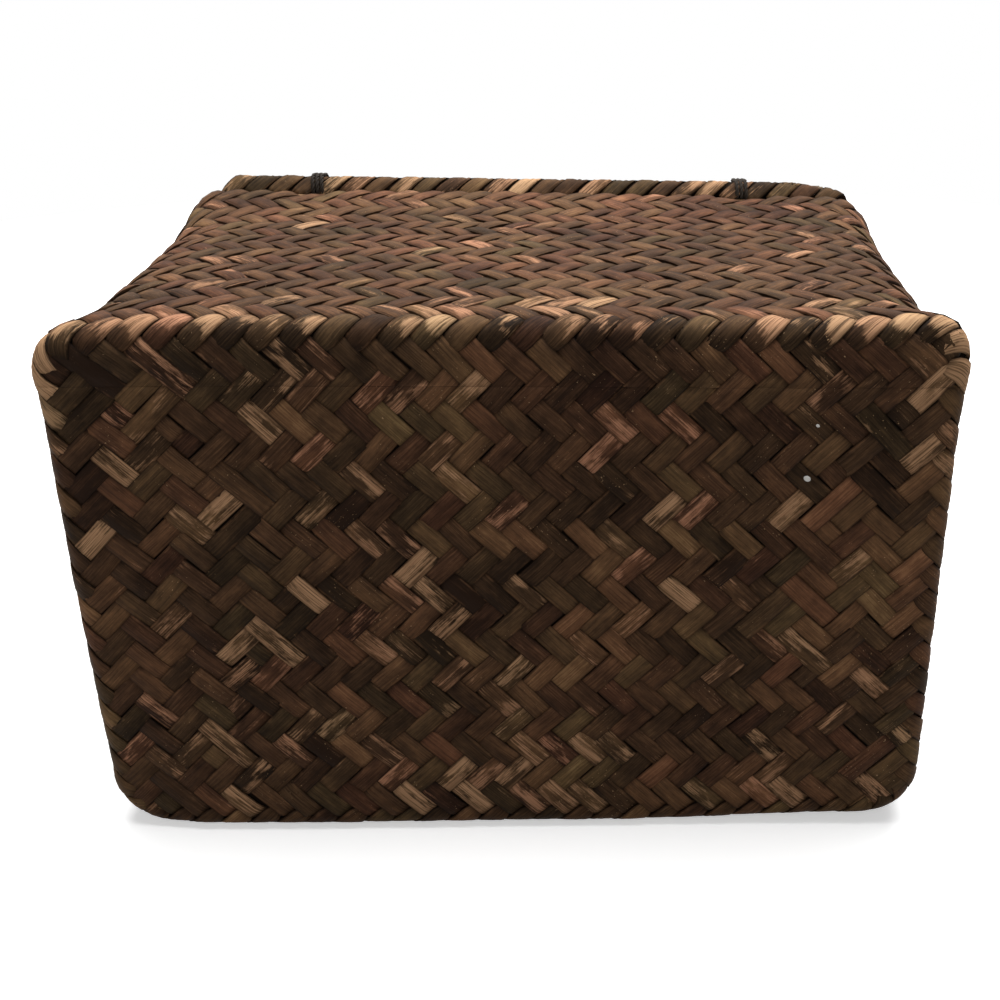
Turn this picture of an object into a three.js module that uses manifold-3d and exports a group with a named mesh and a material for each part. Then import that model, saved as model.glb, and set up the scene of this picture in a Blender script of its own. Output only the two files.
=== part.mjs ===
// Plaited leaf box with a hinged lid: a double basket, a cap-shaped lid and two twine hinges.
// Millimetres, +Z up, the front faces -Y. The origin is the middle of the base, on the table.
import * as THREE from 'three';
import { mergeVertices } from 'three/addons/utils/BufferGeometryUtils.js';
import Module from 'manifold-3d';

const wasm = await Module();
wasm.setup();

// Overall sizes
const boxWidth = 300;
const boxDepth = 200;
const lidFaceHeight = 196;
const lidDepth = 21;

// Rounding: the edges along the depth are broad, those round the front and back faces are tight
const broadRound = 20;
const tightRound = 7;
const uprightRound = 8;
const roundSteps = 6;
const cornerSteps = 4;

// Plaited layers and what is tucked between them
const outerLayer = 1.8;
const innerLayer = 1.6;
const lidLayer = 1.8;
const lidLiningLayer = 1.4;
const clearance = 0.3;

// Relief of the plait: rows that zigzag on the front, loops that lean over the front face's folds
const rowPitch = 10.7;
const rowRelief = 0.6;
const rowZigzag = 2.6;
const loopPitch = 10.6;
const loopLean = 1;

// Neck inside the inner basket's rim, which the lid's skirt slips over: leaf bands folded over splints
const neckRise = 4.4;
const neckEdgeChamfer = 0.8;
const hemLayer = 1.2;
const hemDrop = 12.4;
const splintThickness = 1.5;
const neckSplintHeight = 10;

// Stiffening splints inside the lid's skirt
const lidSplintHeight = 3.2;
const skirtEase = 0.6;
const lidLiningEdgeRise = 6.4;

// Rolled rims at the hinge side: leaf loops that lean over a round cane
const caneRadius = 1.8;
const caneSides = 10;
const rollLayer = 1.8;
const loopRelief = 0.5;
const rollGap = 0.4;
const bodyRollDrop = 1.5;
const stationsPerLoop = 3;
const rollOuterPoints = 10;
const rollInnerPoints = 7;

// Hinge lashings
const lashingInset = 37;
const twineRadius = 0.9;
const twineTurns = 3;
const twinePitch = 2.4;
const twineSlack = 0.5;
const twineSteps = 24;
const twineSides = 6;
const twineBend = 2.2;
const twineBendSteps = 3;
const slotBridge = 2.5;
const slotReach = 6.9;
const knotLength = 6.2;
const knotThickness = 2.6;
const knotSeat = 1.4;
const knotMeridians = 12;
const knotRows = 8;

// Finishes
const leafFinish = { roughness: 0.75, metalness: 0 };
const darkLeaf = { color: 0x3d2f24, ...leafFinish };
const topLeaf = { color: 0x5c4636, ...leafFinish };
const liningLeaf = { color: 0x4a3a2b, ...leafFinish };
const wornLeaf = { color: 0x7a6146, ...leafFinish };
const bamboo = { color: 0xa98a5a, roughness: 0.6, metalness: 0 };
const twineFinish = { color: 0x2b2724, roughness: 0.9, metalness: 0 };

// Places that follow from the sizes
const halfWidth = boxWidth / 2;
const halfDepth = boxDepth / 2;
const seamHeight = lidFaceHeight - lidDepth;
const farReach = boxWidth + boxDepth + lidFaceHeight;
const rollInner = caneRadius + clearance;
const rollOuter = rollInner + rollLayer;
const rollCrest = rollOuter + loopRelief;
const bodyRoll = { y: halfDepth - outerLayer / 2, z: lidFaceHeight + rollInner - bodyRollDrop };
const lidRoll = { y: bodyRoll.y - 2 * rollCrest - rollGap, z: lidFaceHeight + rollInner };
const rollLength = boxWidth - 2 * broadRound;
const lidEnd = lidRoll.y;
const lashingX = rollLength / 2 - lashingInset;
const liningInset = outerLayer + clearance;
const lidSplintInset = lidLayer + skirtEase;
const neckInset = lidSplintInset + splintThickness + clearance;
const neckSplintInset = neckInset + hemLayer + clearance;
const hemInset = neckSplintInset + splintThickness + clearance;
const neckTop = seamHeight + neckRise;
const hemBottom = neckTop - hemDrop;
const lidLiningInset = lidLayer + clearance;
const twineRing = rollCrest + twineSlack + twineRadius;
const slotHalfWidth = (twineTurns * twinePitch) / 2 + twineRadius + clearance;
const fullTurn = 2 * Math.PI;

// Closed mesh from positions and triangle indices
function geometryOf(points, triangles) {
  const geometry = new THREE.BufferGeometry();
  geometry.setAttribute('position', new THREE.Float32BufferAttribute(points.flat(), 3));
  geometry.setIndex(triangles.flat());
  return geometry;
}

function toManifold(geometry) {
  const bare = geometry.clone();
  bare.deleteAttribute('normal');
  bare.deleteAttribute('uv');
  const merged = mergeVertices(bare, 1e-4);
  return new wasm.Manifold(new wasm.Mesh({
    numProp: 3,
    vertProperties: new Float32Array(merged.attributes.position.array),
    triVerts: new Uint32Array(merged.index.array),
  }));
}

function fromManifold(solid) {
  const mesh = solid.getMesh();
  const geometry = new THREE.BufferGeometry();
  geometry.setAttribute('position', new THREE.BufferAttribute(new Float32Array(mesh.vertProperties), 3));
  geometry.setIndex(new THREE.BufferAttribute(new Uint32Array(mesh.triVerts), 1));
  return geometry;
}

function block(low, high) {
  const size = high.map((value, axis) => value - low[axis]);
  const geometry = new THREE.BoxGeometry(...size);
  return geometry.translate(...high.map((value, axis) => (value + low[axis]) / 2));
}

function cut(geometry, blocks) {
  let solid = toManifold(geometry);
  for (const tool of blocks) {
    solid = solid.subtract(toManifold(tool));
  }
  return fromManifold(solid);
}

// Ring of points round the box, counter-clockwise from above.
// levelAt gives the height from a share that is 0 on the front and back and 1 on the sides.
// plaitAt adds the points of the plait along the front, from half the front's straight run.
function ring(halfX, front, back, corner, levelAt, plaitAt = () => []) {
  const points = [];
  const arc = (centreX, centreY, startAngle, startsOnSide) => {
    for (let step = 0; step <= cornerSteps; step += 1) {
      const share = step / cornerSteps;
      const angle = startAngle + (share * Math.PI) / 2;
      const x = centreX + corner * Math.cos(angle);
      const y = centreY + corner * Math.sin(angle);
      points.push([x, y, levelAt(startsOnSide ? 1 - share : share)]);
    }
  };
  arc(halfX - corner, front + corner, -Math.PI / 2, false);
  arc(halfX - corner, back - corner, 0, true);
  arc(-halfX + corner, back - corner, Math.PI / 2, false);
  arc(-halfX + corner, front + corner, Math.PI, true);
  points.push(...plaitAt(halfX - corner));
  return points;
}

// Ring at a constant inset from the outer face
function insetRing(inset, level) {
  const corner = Math.max(uprightRound - inset, 1);
  return ring(halfWidth - inset, inset - halfDepth, halfDepth - inset, corner, () => level);
}

// Ring of a rounded edge between a flat face and the walls. turn is 0 on the face, 1 on the wall.
// Under the top face (direction -1) the back edge stays square, because the rolled rims sit there.
function roundedRing(inset, turn, faceLevel, direction, plaited) {
  const angle = (turn * Math.PI) / 2;
  const pull = 1 - Math.sin(angle);
  const drop = 1 - Math.cos(angle);
  const broad = broadRound - inset;
  const tight = tightRound - inset;
  const corner = Math.max(uprightRound - inset - tight * pull, 1);
  const backPull = direction > 0 ? tight * pull : 0;
  const level = (sideShare) => faceLevel + direction * drop * (tight + (broad - tight) * sideShare);
  const front = inset - halfDepth + tight * pull;
  const relief = rowRelief * Math.sin(2 * angle);
  const lean = loopLean * direction * tight * (angle - Math.PI / 4);
  const loops = (halfRun) => plaitPoints(halfRun, (x, groove, taper) => [
    x + lean * taper,
    front + groove * relief * Math.sin(angle),
    level(0) + groove * relief * direction * Math.cos(angle),
  ]);
  return ring(
    halfWidth - inset - broad * pull,
    front,
    halfDepth - inset - backPull,
    corner,
    level,
    plaited ? loops : undefined,
  );
}

function edgeRings(inset, faceLevel, direction, plaited = false) {
  const rings = [];
  for (let step = 0; step <= roundSteps; step += 1) {
    rings.push(roundedRing(inset, step / roundSteps, faceLevel, direction, plaited));
  }
  return rings;
}

// Points along the front, two to a loop: pointAt gets the place, 1 in a groove and 0 on a crest,
// and a taper that goes to 0 at both ends of the run
function plaitPoints(halfRun, pointAt) {
  const count = 2 * Math.round((boxWidth - 2 * uprightRound) / loopPitch);
  const points = [];
  for (let index = 1; index < count; index += 1) {
    const taper = Math.min(1, Math.min(index, count - index) / 4);
    points.push(pointAt(((2 * index) / count - 1) * halfRun, index % 2, taper));
  }
  return points;
}

// Rings of the walls between both folds: a crest in each row and a groove between rows
function rowRings() {
  const frontSpan = lidFaceHeight - 2 * tightRound;
  const sideSpan = lidFaceHeight - 2 * broadRound;
  const rows = Math.round(frontSpan / rowPitch);
  const rings = [];
  for (let half = 1; half < 2 * rows; half += 1) {
    const share = half / (2 * rows);
    const inset = half % 2 === 0 ? rowRelief : 0;
    const frontLevel = tightRound + share * frontSpan;
    const sideLevel = broadRound + share * sideSpan;
    const zigzag = (halfRun) => plaitPoints(halfRun, (x, groove) => [
      x,
      inset - halfDepth,
      frontLevel + (2 * groove - 1) * rowZigzag,
    ]);
    rings.push(ring(
      halfWidth - inset,
      inset - halfDepth,
      halfDepth - inset,
      uprightRound - inset,
      (sideShare) => frontLevel + (sideLevel - frontLevel) * sideShare,
      zigzag,
    ));
  }
  return rings;
}

// Skin through a list of rings, closed by a fan on the first and the last one
function loft(rings) {
  const count = rings[0].length;
  const points = rings.flat();
  const triangles = [];
  for (let row = 0; row + 1 < rings.length; row += 1) {
    for (let index = 0; index < count; index += 1) {
      const next = (index + 1) % count;
      const low = row * count;
      const high = low + count;
      triangles.push([low + index, low + next, high + next], [low + index, high + next, high + index]);
    }
  }
  const centreOf = (list) => [0, 1, 2].map((axis) => list.reduce((sum, p) => sum + p[axis], 0) / count);
  const first = points.push(centreOf(rings[0])) - 1;
  const last = points.push(centreOf(rings.at(-1))) - 1;
  const top = (rings.length - 1) * count;
  for (let index = 0; index < count; index += 1) {
    const next = (index + 1) % count;
    triangles.push([first, next, index], [last, top + index, top + next]);
  }
  return geometryOf(points, triangles);
}

// Slots where a lashing passes, left and right
function lashingSlots(yRange, zRange) {
  return [-1, 1].map((side) => {
    const middle = side * lashingX;
    return block(
      [middle - slotHalfWidth, yRange[0], zRange[0]],
      [middle + slotHalfWidth, yRange[1], zRange[1]],
    );
  });
}

// Solid of the whole closed box, inset from its outer face
function boxForm(inset) {
  const lower = edgeRings(inset, inset, 1);
  const upper = edgeRings(inset, lidFaceHeight - inset, -1).reverse();
  return loft([...lower, ...upper]);
}

// The same solid with the plait's relief on its outer face
function plaitedForm() {
  const lower = edgeRings(0, 0, 1, true);
  const upper = edgeRings(0, lidFaceHeight, -1, true).reverse();
  return loft([...lower, ...rowRings(), ...upper]);
}

// One layer below the given outer form, with what the tools take away
function formLayer(form, innerInset, tools) {
  return cut(form, [boxForm(innerInset), ...tools]);
}

// Outer basket: base and walls. Behind the lid it goes on up, as two round shoulders and a back wall
// that stands in the rolled rim.
function outerBasket() {
  const lidSpace = block(
    [-farReach, -farReach, seamHeight - clearance],
    [farReach, lidEnd + clearance, farReach],
  );
  const rimSpace = block(
    [-rollLength / 2 - clearance, 0, lidFaceHeight - outerLayer - clearance],
    [rollLength / 2 + clearance, farReach, farReach],
  );
  const runLevel = bodyRoll.z - twineRing;
  const slotHalfHeight = twineRadius + twineSlack;
  const slots = lashingSlots(
    [halfDepth - 2 * outerLayer, halfDepth + outerLayer],
    [runLevel - slotHalfHeight, runLevel + slotHalfHeight],
  );
  return formLayer(plaitedForm(), outerLayer, [lidSpace, rimSpace, ...slots]);
}

// Inner basket: a lining as high as the outer basket's rim
function innerBasket() {
  const innerFace = liningInset + innerLayer;
  const rimLevel = seamHeight - clearance;
  return loft([
    ...edgeRings(liningInset, liningInset, 1),
    insetRing(liningInset, rimLevel),
    insetRing(innerFace, rimLevel),
    ...edgeRings(innerFace, innerFace, 1).reverse(),
  ]);
}

// Neck band: a leaf strip folded over one splint. The profile is drawn for the left side, as insets and
// levels, and turned to the side asked for.
function neckBand(side) {
  const hemFace = hemInset + hemLayer;
  const pocketTop = neckTop - hemLayer;
  const fold = new THREE.Shape([
    new THREE.Vector2(neckInset, hemBottom),
    new THREE.Vector2(neckInset + hemLayer, hemBottom),
    new THREE.Vector2(neckInset + hemLayer, pocketTop),
    new THREE.Vector2(hemInset, pocketTop),
    new THREE.Vector2(hemInset, hemBottom),
    new THREE.Vector2(hemFace, hemBottom),
    new THREE.Vector2(hemFace, neckTop - neckEdgeChamfer),
    new THREE.Vector2(hemFace - neckEdgeChamfer, neckTop),
    new THREE.Vector2(neckInset + neckEdgeChamfer, neckTop),
    new THREE.Vector2(neckInset, neckTop - neckEdgeChamfer),
  ]);
  const turns = { left: 0, front: 1, right: 2, back: 3 };
  const onLongSide = side === 'front' || side === 'back';
  const halfAlong = (onLongSide ? halfWidth : halfDepth) - uprightRound - neckInset;
  const halfAcross = onLongSide ? halfDepth : halfWidth;
  const band = new THREE.ExtrudeGeometry(fold, { depth: 2 * halfAlong, bevelEnabled: false });
  band.translate(-halfAcross, 0, -halfAlong);
  band.rotateX(fullTurn / 4);
  band.rotateZ((turns[side] * fullTurn) / 4);
  return fromManifold(toManifold(band));
}

// Lid layer: the part of the form above the given level, as far back as the given end
function lidShell(form, innerInset, bottom, backEnd, tools) {
  const behind = block([-farReach, backEnd, 0], [farReach, farReach, farReach]);
  const below = block([-farReach, -farReach, -farReach], [farReach, farReach, bottom]);
  return formLayer(form, innerInset, [behind, below, ...tools]);
}

// Grooves between the rows on the lid's top face: square bars that cut in with one edge
function rowGrooves() {
  const bars = [];
  const length = boxWidth - 2 * broadRound - 2 * tightRound;
  const first = tightRound + rowPitch - halfDepth;
  const last = lidRoll.y - slotReach - rowPitch / 2;
  for (let y = first; y < last; y += rowPitch) {
    const bar = new THREE.CylinderGeometry(lidLayer, lidLayer, length, 4);
    bars.push(bar.rotateZ(fullTurn / 4).translate(0, y, lidFaceHeight + lidLayer - rowRelief));
  }
  return bars;
}

function lidOuterWeave() {
  const slots = lashingSlots(
    [lidRoll.y - slotReach, lidRoll.y - slotBridge],
    [lidFaceHeight - 2 * lidLayer, lidFaceHeight + lidLayer],
  );
  return lidShell(plaitedForm(), lidLayer, seamHeight, lidEnd, [...slots, ...rowGrooves()]);
}

function lidLining() {
  const backEnd = lidRoll.y - twineRing - twineRadius - 2 * clearance;
  const innerInset = lidLiningInset + lidLiningLayer;
  return lidShell(boxForm(lidLiningInset), innerInset, seamHeight + lidLiningEdgeRise, backEnd, []);
}

// Flat splints: straight pieces that stiffen the neck and the lid's skirt
function splint(side, inset, bottom, height, backEnd) {
  const near = inset;
  const far = inset + splintThickness;
  const endX = halfWidth - uprightRound - far;
  const endY = halfDepth - uprightRound - far;
  const top = bottom + height;
  const spans = {
    front: [[-endX, near - halfDepth, bottom], [endX, far - halfDepth, top]],
    back: [[-endX, halfDepth - far, bottom], [endX, halfDepth - near, top]],
    left: [[near - halfWidth, -endY, bottom], [far - halfWidth, backEnd, top]],
    right: [[halfWidth - far, -endY, bottom], [halfWidth - near, backEnd, top]],
  };
  return block(...spans[side]);
}

function neckSplint(side) {
  const bottom = neckTop - hemLayer - clearance - neckSplintHeight;
  const backEnd = halfDepth - uprightRound - hemInset;
  return splint(side, neckSplintInset, bottom, neckSplintHeight, backEnd);
}

function lidSplint(side) {
  return splint(side, lidSplintInset, seamHeight + clearance, lidSplintHeight, lidRoll.y - slotReach);
}

// Leaning loops over a rim cane: a sleeve that is open along one side, from angle start to angle end.
// Each loop is a slanted ridge, because its stations shift along the rim as they go round.
function rimWrap(centre, start, end, length) {
  const spacing = loopPitch / stationsPerLoop;
  const sweep = end - start;
  const overrun = loopLean * rollOuter * Math.abs(sweep);
  const stations = Math.ceil((length + 2 * overrun) / spacing);
  const innerStep = sweep / (rollInnerPoints - 1);
  const innerVertex = rollInner / Math.cos(innerStep / 2);
  const points = [];
  const count = rollOuterPoints + rollInnerPoints;
  for (let station = 0; station <= stations; station += 1) {
    const base = -length / 2 - overrun + station * spacing;
    const outer = station % stationsPerLoop === 0 ? rollOuter : rollCrest;
    const place = (angle, radius) => {
      const shift = loopLean * rollOuter * ((start + end) / 2 - angle);
      points.push([base + shift, centre.y + radius * Math.cos(angle), centre.z + radius * Math.sin(angle)]);
    };
    for (let index = 0; index < rollOuterPoints; index += 1) {
      place(start + (sweep * index) / (rollOuterPoints - 1), outer);
    }
    for (let index = 0; index < rollInnerPoints; index += 1) {
      place(end - innerStep * index, innerVertex);
    }
  }
  const triangles = [];
  for (let station = 0; station < stations; station += 1) {
    for (let index = 0; index < count; index += 1) {
      const next = (index + 1) % count;
      const near = station * count;
      const far = near + count;
      triangles.push([near + index, near + next, far + next], [near + index, far + next, far + index]);
    }
  }
  const outline = [];
  for (let index = 0; index < count; index += 1) {
    outline.push(new THREE.Vector2(points[index][1], points[index][2]));
  }
  for (const [a, b, c] of THREE.ShapeUtils.triangulateShape(outline, [])) {
    const lastStation = stations * count;
    triangles.push([a, c, b], [lastStation + a, lastStation + b, lastStation + c]);
  }
  const reach = rollCrest + 1;
  const span = block(
    [-length / 2, centre.y - reach, centre.z - reach],
    [length / 2, centre.y + reach, centre.z + reach],
  );
  return fromManifold(toManifold(geometryOf(points, triangles)).intersect(toManifold(span)));
}

function rimCane(centre, length) {
  const geometry = new THREE.CylinderGeometry(caneRadius, caneRadius, length, caneSides);
  return geometry.rotateZ(Math.PI / 2).translate(0, centre.y, centre.z);
}

// Path of one hinge lashing: turns round both rims, with both ends led down into a knot
function lashingPath(middle) {
  const across = new THREE.Vector2(bodyRoll.y - lidRoll.y, bodyRoll.z - lidRoll.z);
  const run = across.length();
  const along = across.clone().normalize();
  const up = new THREE.Vector2(-along.y, along.x);
  const front = new THREE.Vector2(lidRoll.y, lidRoll.z);
  const back = new THREE.Vector2(bodyRoll.y, bodyRoll.z);
  const halfTurn = Math.PI * twineRing;
  const loopLength = 2 * run + 2 * halfTurn;
  const onArc = (centre, angle) => centre.clone()
    .addScaledVector(along, twineRing * Math.cos(angle))
    .addScaledVector(up, twineRing * Math.sin(angle));
  const onLoop = (distance) => {
    if (distance < run) {
      return front.clone().addScaledVector(up, -twineRing).addScaledVector(along, distance);
    }
    if (distance < run + halfTurn) {
      return onArc(back, (distance - run) / twineRing - Math.PI / 2);
    }
    if (distance < 2 * run + halfTurn) {
      const left = distance - run - halfTurn;
      return back.clone().addScaledVector(up, twineRing).addScaledVector(along, -left);
    }
    return onArc(front, (distance - 2 * run - halfTurn) / twineRing + Math.PI / 2);
  };
  const startDistance = run / 2 + twineBend;
  const endDistance = loopLength * twineTurns + run / 2 - twineBend;
  const startX = middle - (twineTurns * twinePitch) / 2;
  const at = (distance) => {
    const place = onLoop(distance % loopLength);
    const travelled = (distance - startDistance) / (endDistance - startDistance);
    return new THREE.Vector3(startX + travelled * twineTurns * twinePitch, place.x, place.y);
  };
  const lead = (from, direction) => {
    const bend = [];
    for (let step = 0; step < twineBendSteps; step += 1) {
      const angle = ((step / twineBendSteps) * Math.PI) / 2;
      const y = from.y - direction * twineBend * (1 - Math.sin(angle));
      bend.push(new THREE.Vector3(from.x, y, from.z - twineBend * Math.cos(angle)));
    }
    const tail = bend[0].clone();
    tail.z -= 2 * twineRadius;
    return [tail, ...bend];
  };
  const points = lead(at(startDistance), 1);
  const steps = twineTurns * twineSteps;
  for (let step = 0; step <= steps; step += 1) {
    points.push(at(startDistance + ((endDistance - startDistance) * step) / steps));
  }
  points.push(...lead(at(endDistance), -1).reverse());
  return points;
}

// Round tube through a list of points, with flat ends
function tube(points, radius, sides) {
  const reference = new THREE.Vector3(1, 0, 0);
  const rings = [];
  points.forEach((point, index) => {
    const before = points[Math.max(index - 1, 0)];
    const after = points[Math.min(index + 1, points.length - 1)];
    const tangent = after.clone().sub(before).normalize();
    const side = reference.clone().addScaledVector(tangent, -reference.dot(tangent)).normalize();
    const lift = tangent.clone().cross(side);
    const circle = [];
    for (let corner = 0; corner < sides; corner += 1) {
      const angle = (corner * 2 * Math.PI) / sides;
      const spot = point.clone()
        .addScaledVector(side, radius * Math.cos(angle))
        .addScaledVector(lift, radius * Math.sin(angle));
      circle.push(spot.toArray());
    }
    rings.push(circle);
  });
  return loft(rings);
}

// Least gap between turns of a tube, measured on the points of its middle line
function gapToItself(points, radius) {
  let least = Infinity;
  const skip = Math.round(twineSteps / 2);
  points.forEach((point, index) => {
    for (let other = index + skip; other < points.length - 1; other += 1) {
      const segment = new THREE.Line3(points[other], points[other + 1]);
      const nearest = segment.closestPointToPoint(point, true, new THREE.Vector3());
      least = Math.min(least, nearest.distanceTo(point) - 2 * radius);
    }
  });
  return least;
}

// Knot under the lashing, with a flat seat where both ends of the twine go in
function knot(seat) {
  const ball = new THREE.SphereGeometry(1, knotMeridians, knotRows);
  ball.scale(knotLength, knotThickness, knotThickness);
  ball.translate(seat.x, seat.y, seat.z - knotSeat);
  const reach = knotLength + 1;
  const above = block(
    [seat.x - reach, seat.y - reach, seat.z],
    [seat.x + reach, seat.y + reach, seat.z + reach],
  );
  return cut(ball, [above]);
}

const plaitedBox = new THREE.Group();

function add(name, geometry, finish) {
  const mesh = new THREE.Mesh(geometry, new THREE.MeshStandardMaterial(finish));
  mesh.name = name;
  plaitedBox.add(mesh);
}

add('outer_basket', outerBasket(), darkLeaf);
add('inner_basket', innerBasket(), liningLeaf);
for (const side of ['front', 'back', 'left', 'right']) {
  add(`neck_band_${side}`, neckBand(side), liningLeaf);
  add(`neck_splint_${side}`, neckSplint(side), bamboo);
}

add('lid_outer_weave', lidOuterWeave(), topLeaf);
add('lid_lining', lidLining(), liningLeaf);
for (const side of ['front', 'left', 'right']) {
  add(`lid_splint_${side}`, lidSplint(side), bamboo);
}

// The body's loops leave a mouth below for the back wall, the lid's loops go on from the lid's layer
const wallMouth = Math.asin((outerLayer / 2 + clearance) / rollInner);
const lidLip = Math.asin((rollInner - clearance) / rollCrest);
const bodyWrapStart = wallMouth - fullTurn / 4;
const bodyWrapEnd = (fullTurn * 3) / 4 - wallMouth;
const lidWrapStart = (fullTurn * 3) / 4 + clearance / rollInner;
const lidWrapEnd = (fullTurn * 3) / 2 + lidLip;
add('body_rim_cane', rimCane(bodyRoll, rollLength), bamboo);
add('body_rim_wrap', rimWrap(bodyRoll, bodyWrapStart, bodyWrapEnd, rollLength), wornLeaf);
add('lid_rim_cane', rimCane(lidRoll, rollLength), bamboo);
add('lid_rim_wrap', rimWrap(lidRoll, lidWrapStart, lidWrapEnd, rollLength), wornLeaf);

for (const [name, side] of [['left', -1], ['right', 1]]) {
  const path = lashingPath(side * lashingX);
  const seat = path[0].clone().add(path.at(-1)).multiplyScalar(0.5);
  seat.z = Math.min(path[0].z, path.at(-1).z) - clearance;
  add(`hinge_twine_${name}`, tube(path, twineRadius, twineSides), twineFinish);
  add(`hinge_knot_${name}`, knot(seat), twineFinish);
  console.log(`hinge_twine_${name}: least gap to itself ${gapToItself(path, twineRadius).toFixed(2)} mm`);
}

export default plaitedBox;
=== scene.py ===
import math

import bmesh
import bpy
import numpy as np
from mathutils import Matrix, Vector


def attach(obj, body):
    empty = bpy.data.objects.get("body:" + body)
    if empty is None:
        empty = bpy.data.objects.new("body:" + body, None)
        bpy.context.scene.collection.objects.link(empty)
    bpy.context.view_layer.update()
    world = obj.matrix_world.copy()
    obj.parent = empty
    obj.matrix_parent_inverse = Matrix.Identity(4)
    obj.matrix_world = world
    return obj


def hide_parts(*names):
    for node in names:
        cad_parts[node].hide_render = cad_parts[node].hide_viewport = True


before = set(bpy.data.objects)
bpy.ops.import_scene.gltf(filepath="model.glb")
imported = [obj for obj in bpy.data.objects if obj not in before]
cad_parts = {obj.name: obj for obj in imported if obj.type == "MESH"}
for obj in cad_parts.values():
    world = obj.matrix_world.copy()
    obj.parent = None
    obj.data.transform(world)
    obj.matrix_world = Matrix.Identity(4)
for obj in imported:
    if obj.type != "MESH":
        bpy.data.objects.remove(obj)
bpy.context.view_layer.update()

mm = 0.001
tiny = 1e-6  # stands in for a length of zero in a division
rng = np.random.default_rng(20)
print("frame loaded:", len(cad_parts), "nodes")

# sizes of the box in mm, as in the solids; each roll is the y and z of a rim's middle
box = {
    "width": 300.0,
    "depth": 200.0,
    "height": 196.0,
    "seam": 175.0,
    "topFrom": 190.0,  # what lies higher is on the top face
    "broad": 20.0,
    "tight": 7.0,
    "upright": 8.0,
    "lidRoll": (89.9, 198.1),
    "bodyRoll": (99.1, 196.6),
}
halfW = box["width"] / 2
halfD = box["depth"] / 2
halfH = box["height"] / 2
flatX = halfW - box["broad"]
flatZ = box["height"] - 2 * box["broad"]
around = 4 * flatX + 2 * flatZ + 2 * math.pi * box["broad"]
lidBack = box["lidRoll"][0]

# the plait: strips at 45 degrees, over two and under two, 90 strips round the box
plait = {"count": 90, "rowPhase": -98.5, "start": -138.32, "repeat": 4, "longest": 3, "lattice": 60}
pitch = around / plait["count"]
stripWidth = pitch / math.sqrt(2)
topPhase = flatX + plait["start"]

# where a strip lies: each patch turns across, along and height in mm into points


def walkRound(p, halfAcross, halfUp, r):
    # round a rectangle with round corners, from its top left: the corners' middles and the way out
    bend = r * math.pi / 2
    marks = np.cumsum([0] + [2 * halfAcross, bend, 2 * halfUp, bend] * 2)
    p = np.mod(p, marks[-1])
    part = np.clip(np.searchsorted(marks, p, side="right") - 1, 0, 7)
    run = p - marks[part]
    s, c = np.sin(run / r), np.cos(run / r)
    one, nil = np.ones_like(p), np.zeros_like(p)
    right, top = halfAcross * one, halfUp * one
    cx = np.choose(part, [run - right, right, right, right, right - run, -right, -right, -right])
    cz = np.choose(part, [top, top, top - run, -top, -top, -top, run - top, top])
    nx = np.choose(part, [nil, s, one, c, nil, -s, -one, -c])
    nz = np.choose(part, [one, c, nil, -s, -one, -c, nil, s])
    return cx, cz, nx, nz


def outline(p, inset):
    # round the front view: top, right, bottom, left
    cx, cz, nx, nz = walkRound(p, flatX, flatZ / 2, box["broad"])
    reach = box["broad"] - inset
    return cx + nx * reach, halfH + cz + nz * reach, nx, nz


def planOutline(u, inset):
    # round the plan: front, right, back, left
    r = box["upright"] - inset
    cx, cy, nx, ny = walkRound(u, halfW - box["upright"], halfD - box["upright"], r)
    return cx + nx * r, -cy - ny * r, nx, -ny


def wallPatch(p, q, h, inset=0.0):
    # walls round the outline, q along the depth, bent over the folds of the front and back faces
    r = box["tight"]
    flat = halfD - r
    past = np.maximum(np.abs(q) - flat, 0)
    beta = np.minimum(past / r, math.pi / 2)
    beyond = np.maximum(past - r * math.pi / 2, 0)
    x, z, nx, nz = outline(p, inset + r * (1 - np.cos(beta)) + beyond)
    side = np.sign(q)
    y = np.clip(q, -flat, flat) + side * r * np.sin(beta)
    cb, sb = np.cos(beta), np.sin(beta) * side
    return x + h * nx * cb, y + h * sb, z + h * nz * cb


def facePatch(x, z, h):
    # front face, bent over the fold near its outline; gives depth from the face's plane
    r = box["tight"]
    qx, qz = np.abs(x) - flatX, np.abs(z - halfH) - flatZ / 2
    ox, oz = np.maximum(qx, 0), np.maximum(qz, 0)
    corner = (qx > 0) & (qz > 0)
    size = np.maximum(np.hypot(ox, oz), tiny)
    inside = np.where(corner, box["broad"] - size, box["broad"] - np.maximum(qx, qz))
    nx = np.where(corner, ox / size, (qx >= qz) * 1.0) * np.sign(x)
    nz = np.where(corner, oz / size, (qx < qz) * 1.0) * np.sign(z - halfH)
    past = np.maximum(r - inside, 0)
    beta = np.minimum(past / r, math.pi / 2)
    shift = r * np.sin(beta) - past + h * np.sin(beta)
    return x + nx * shift, z + nz * shift, h * np.cos(beta) - r * (1 - np.cos(beta))


def frontPatch(x, z, h):
    x, z, out = facePatch(x, z, h)
    return x, -halfD - out, z


def backPatch(x, z, h):
    x, z, out = facePatch(x, z, h)
    return -x, halfD + out, z


# hand-made unevenness, the same for lid and body: how far each place is pulled, in mm
uneven = {
    "wave": 0.9,
    "heave": 0.7,
    "leftPull": 2.5,
    "rightPull": 0.5,
    "ear": 2.4,
    "leftEarLift": -3.0,
    "rightEarLift": 2.0,
    "slack": 2.6,
    "tilt": 1.6,
    "rightLift": 3.2,
    "sole": 0.55,
    "squareOut": 0.85,
    "squareUp": 2.04,
    "toe": 3.6,
    "rise": 3.4,
}
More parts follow.
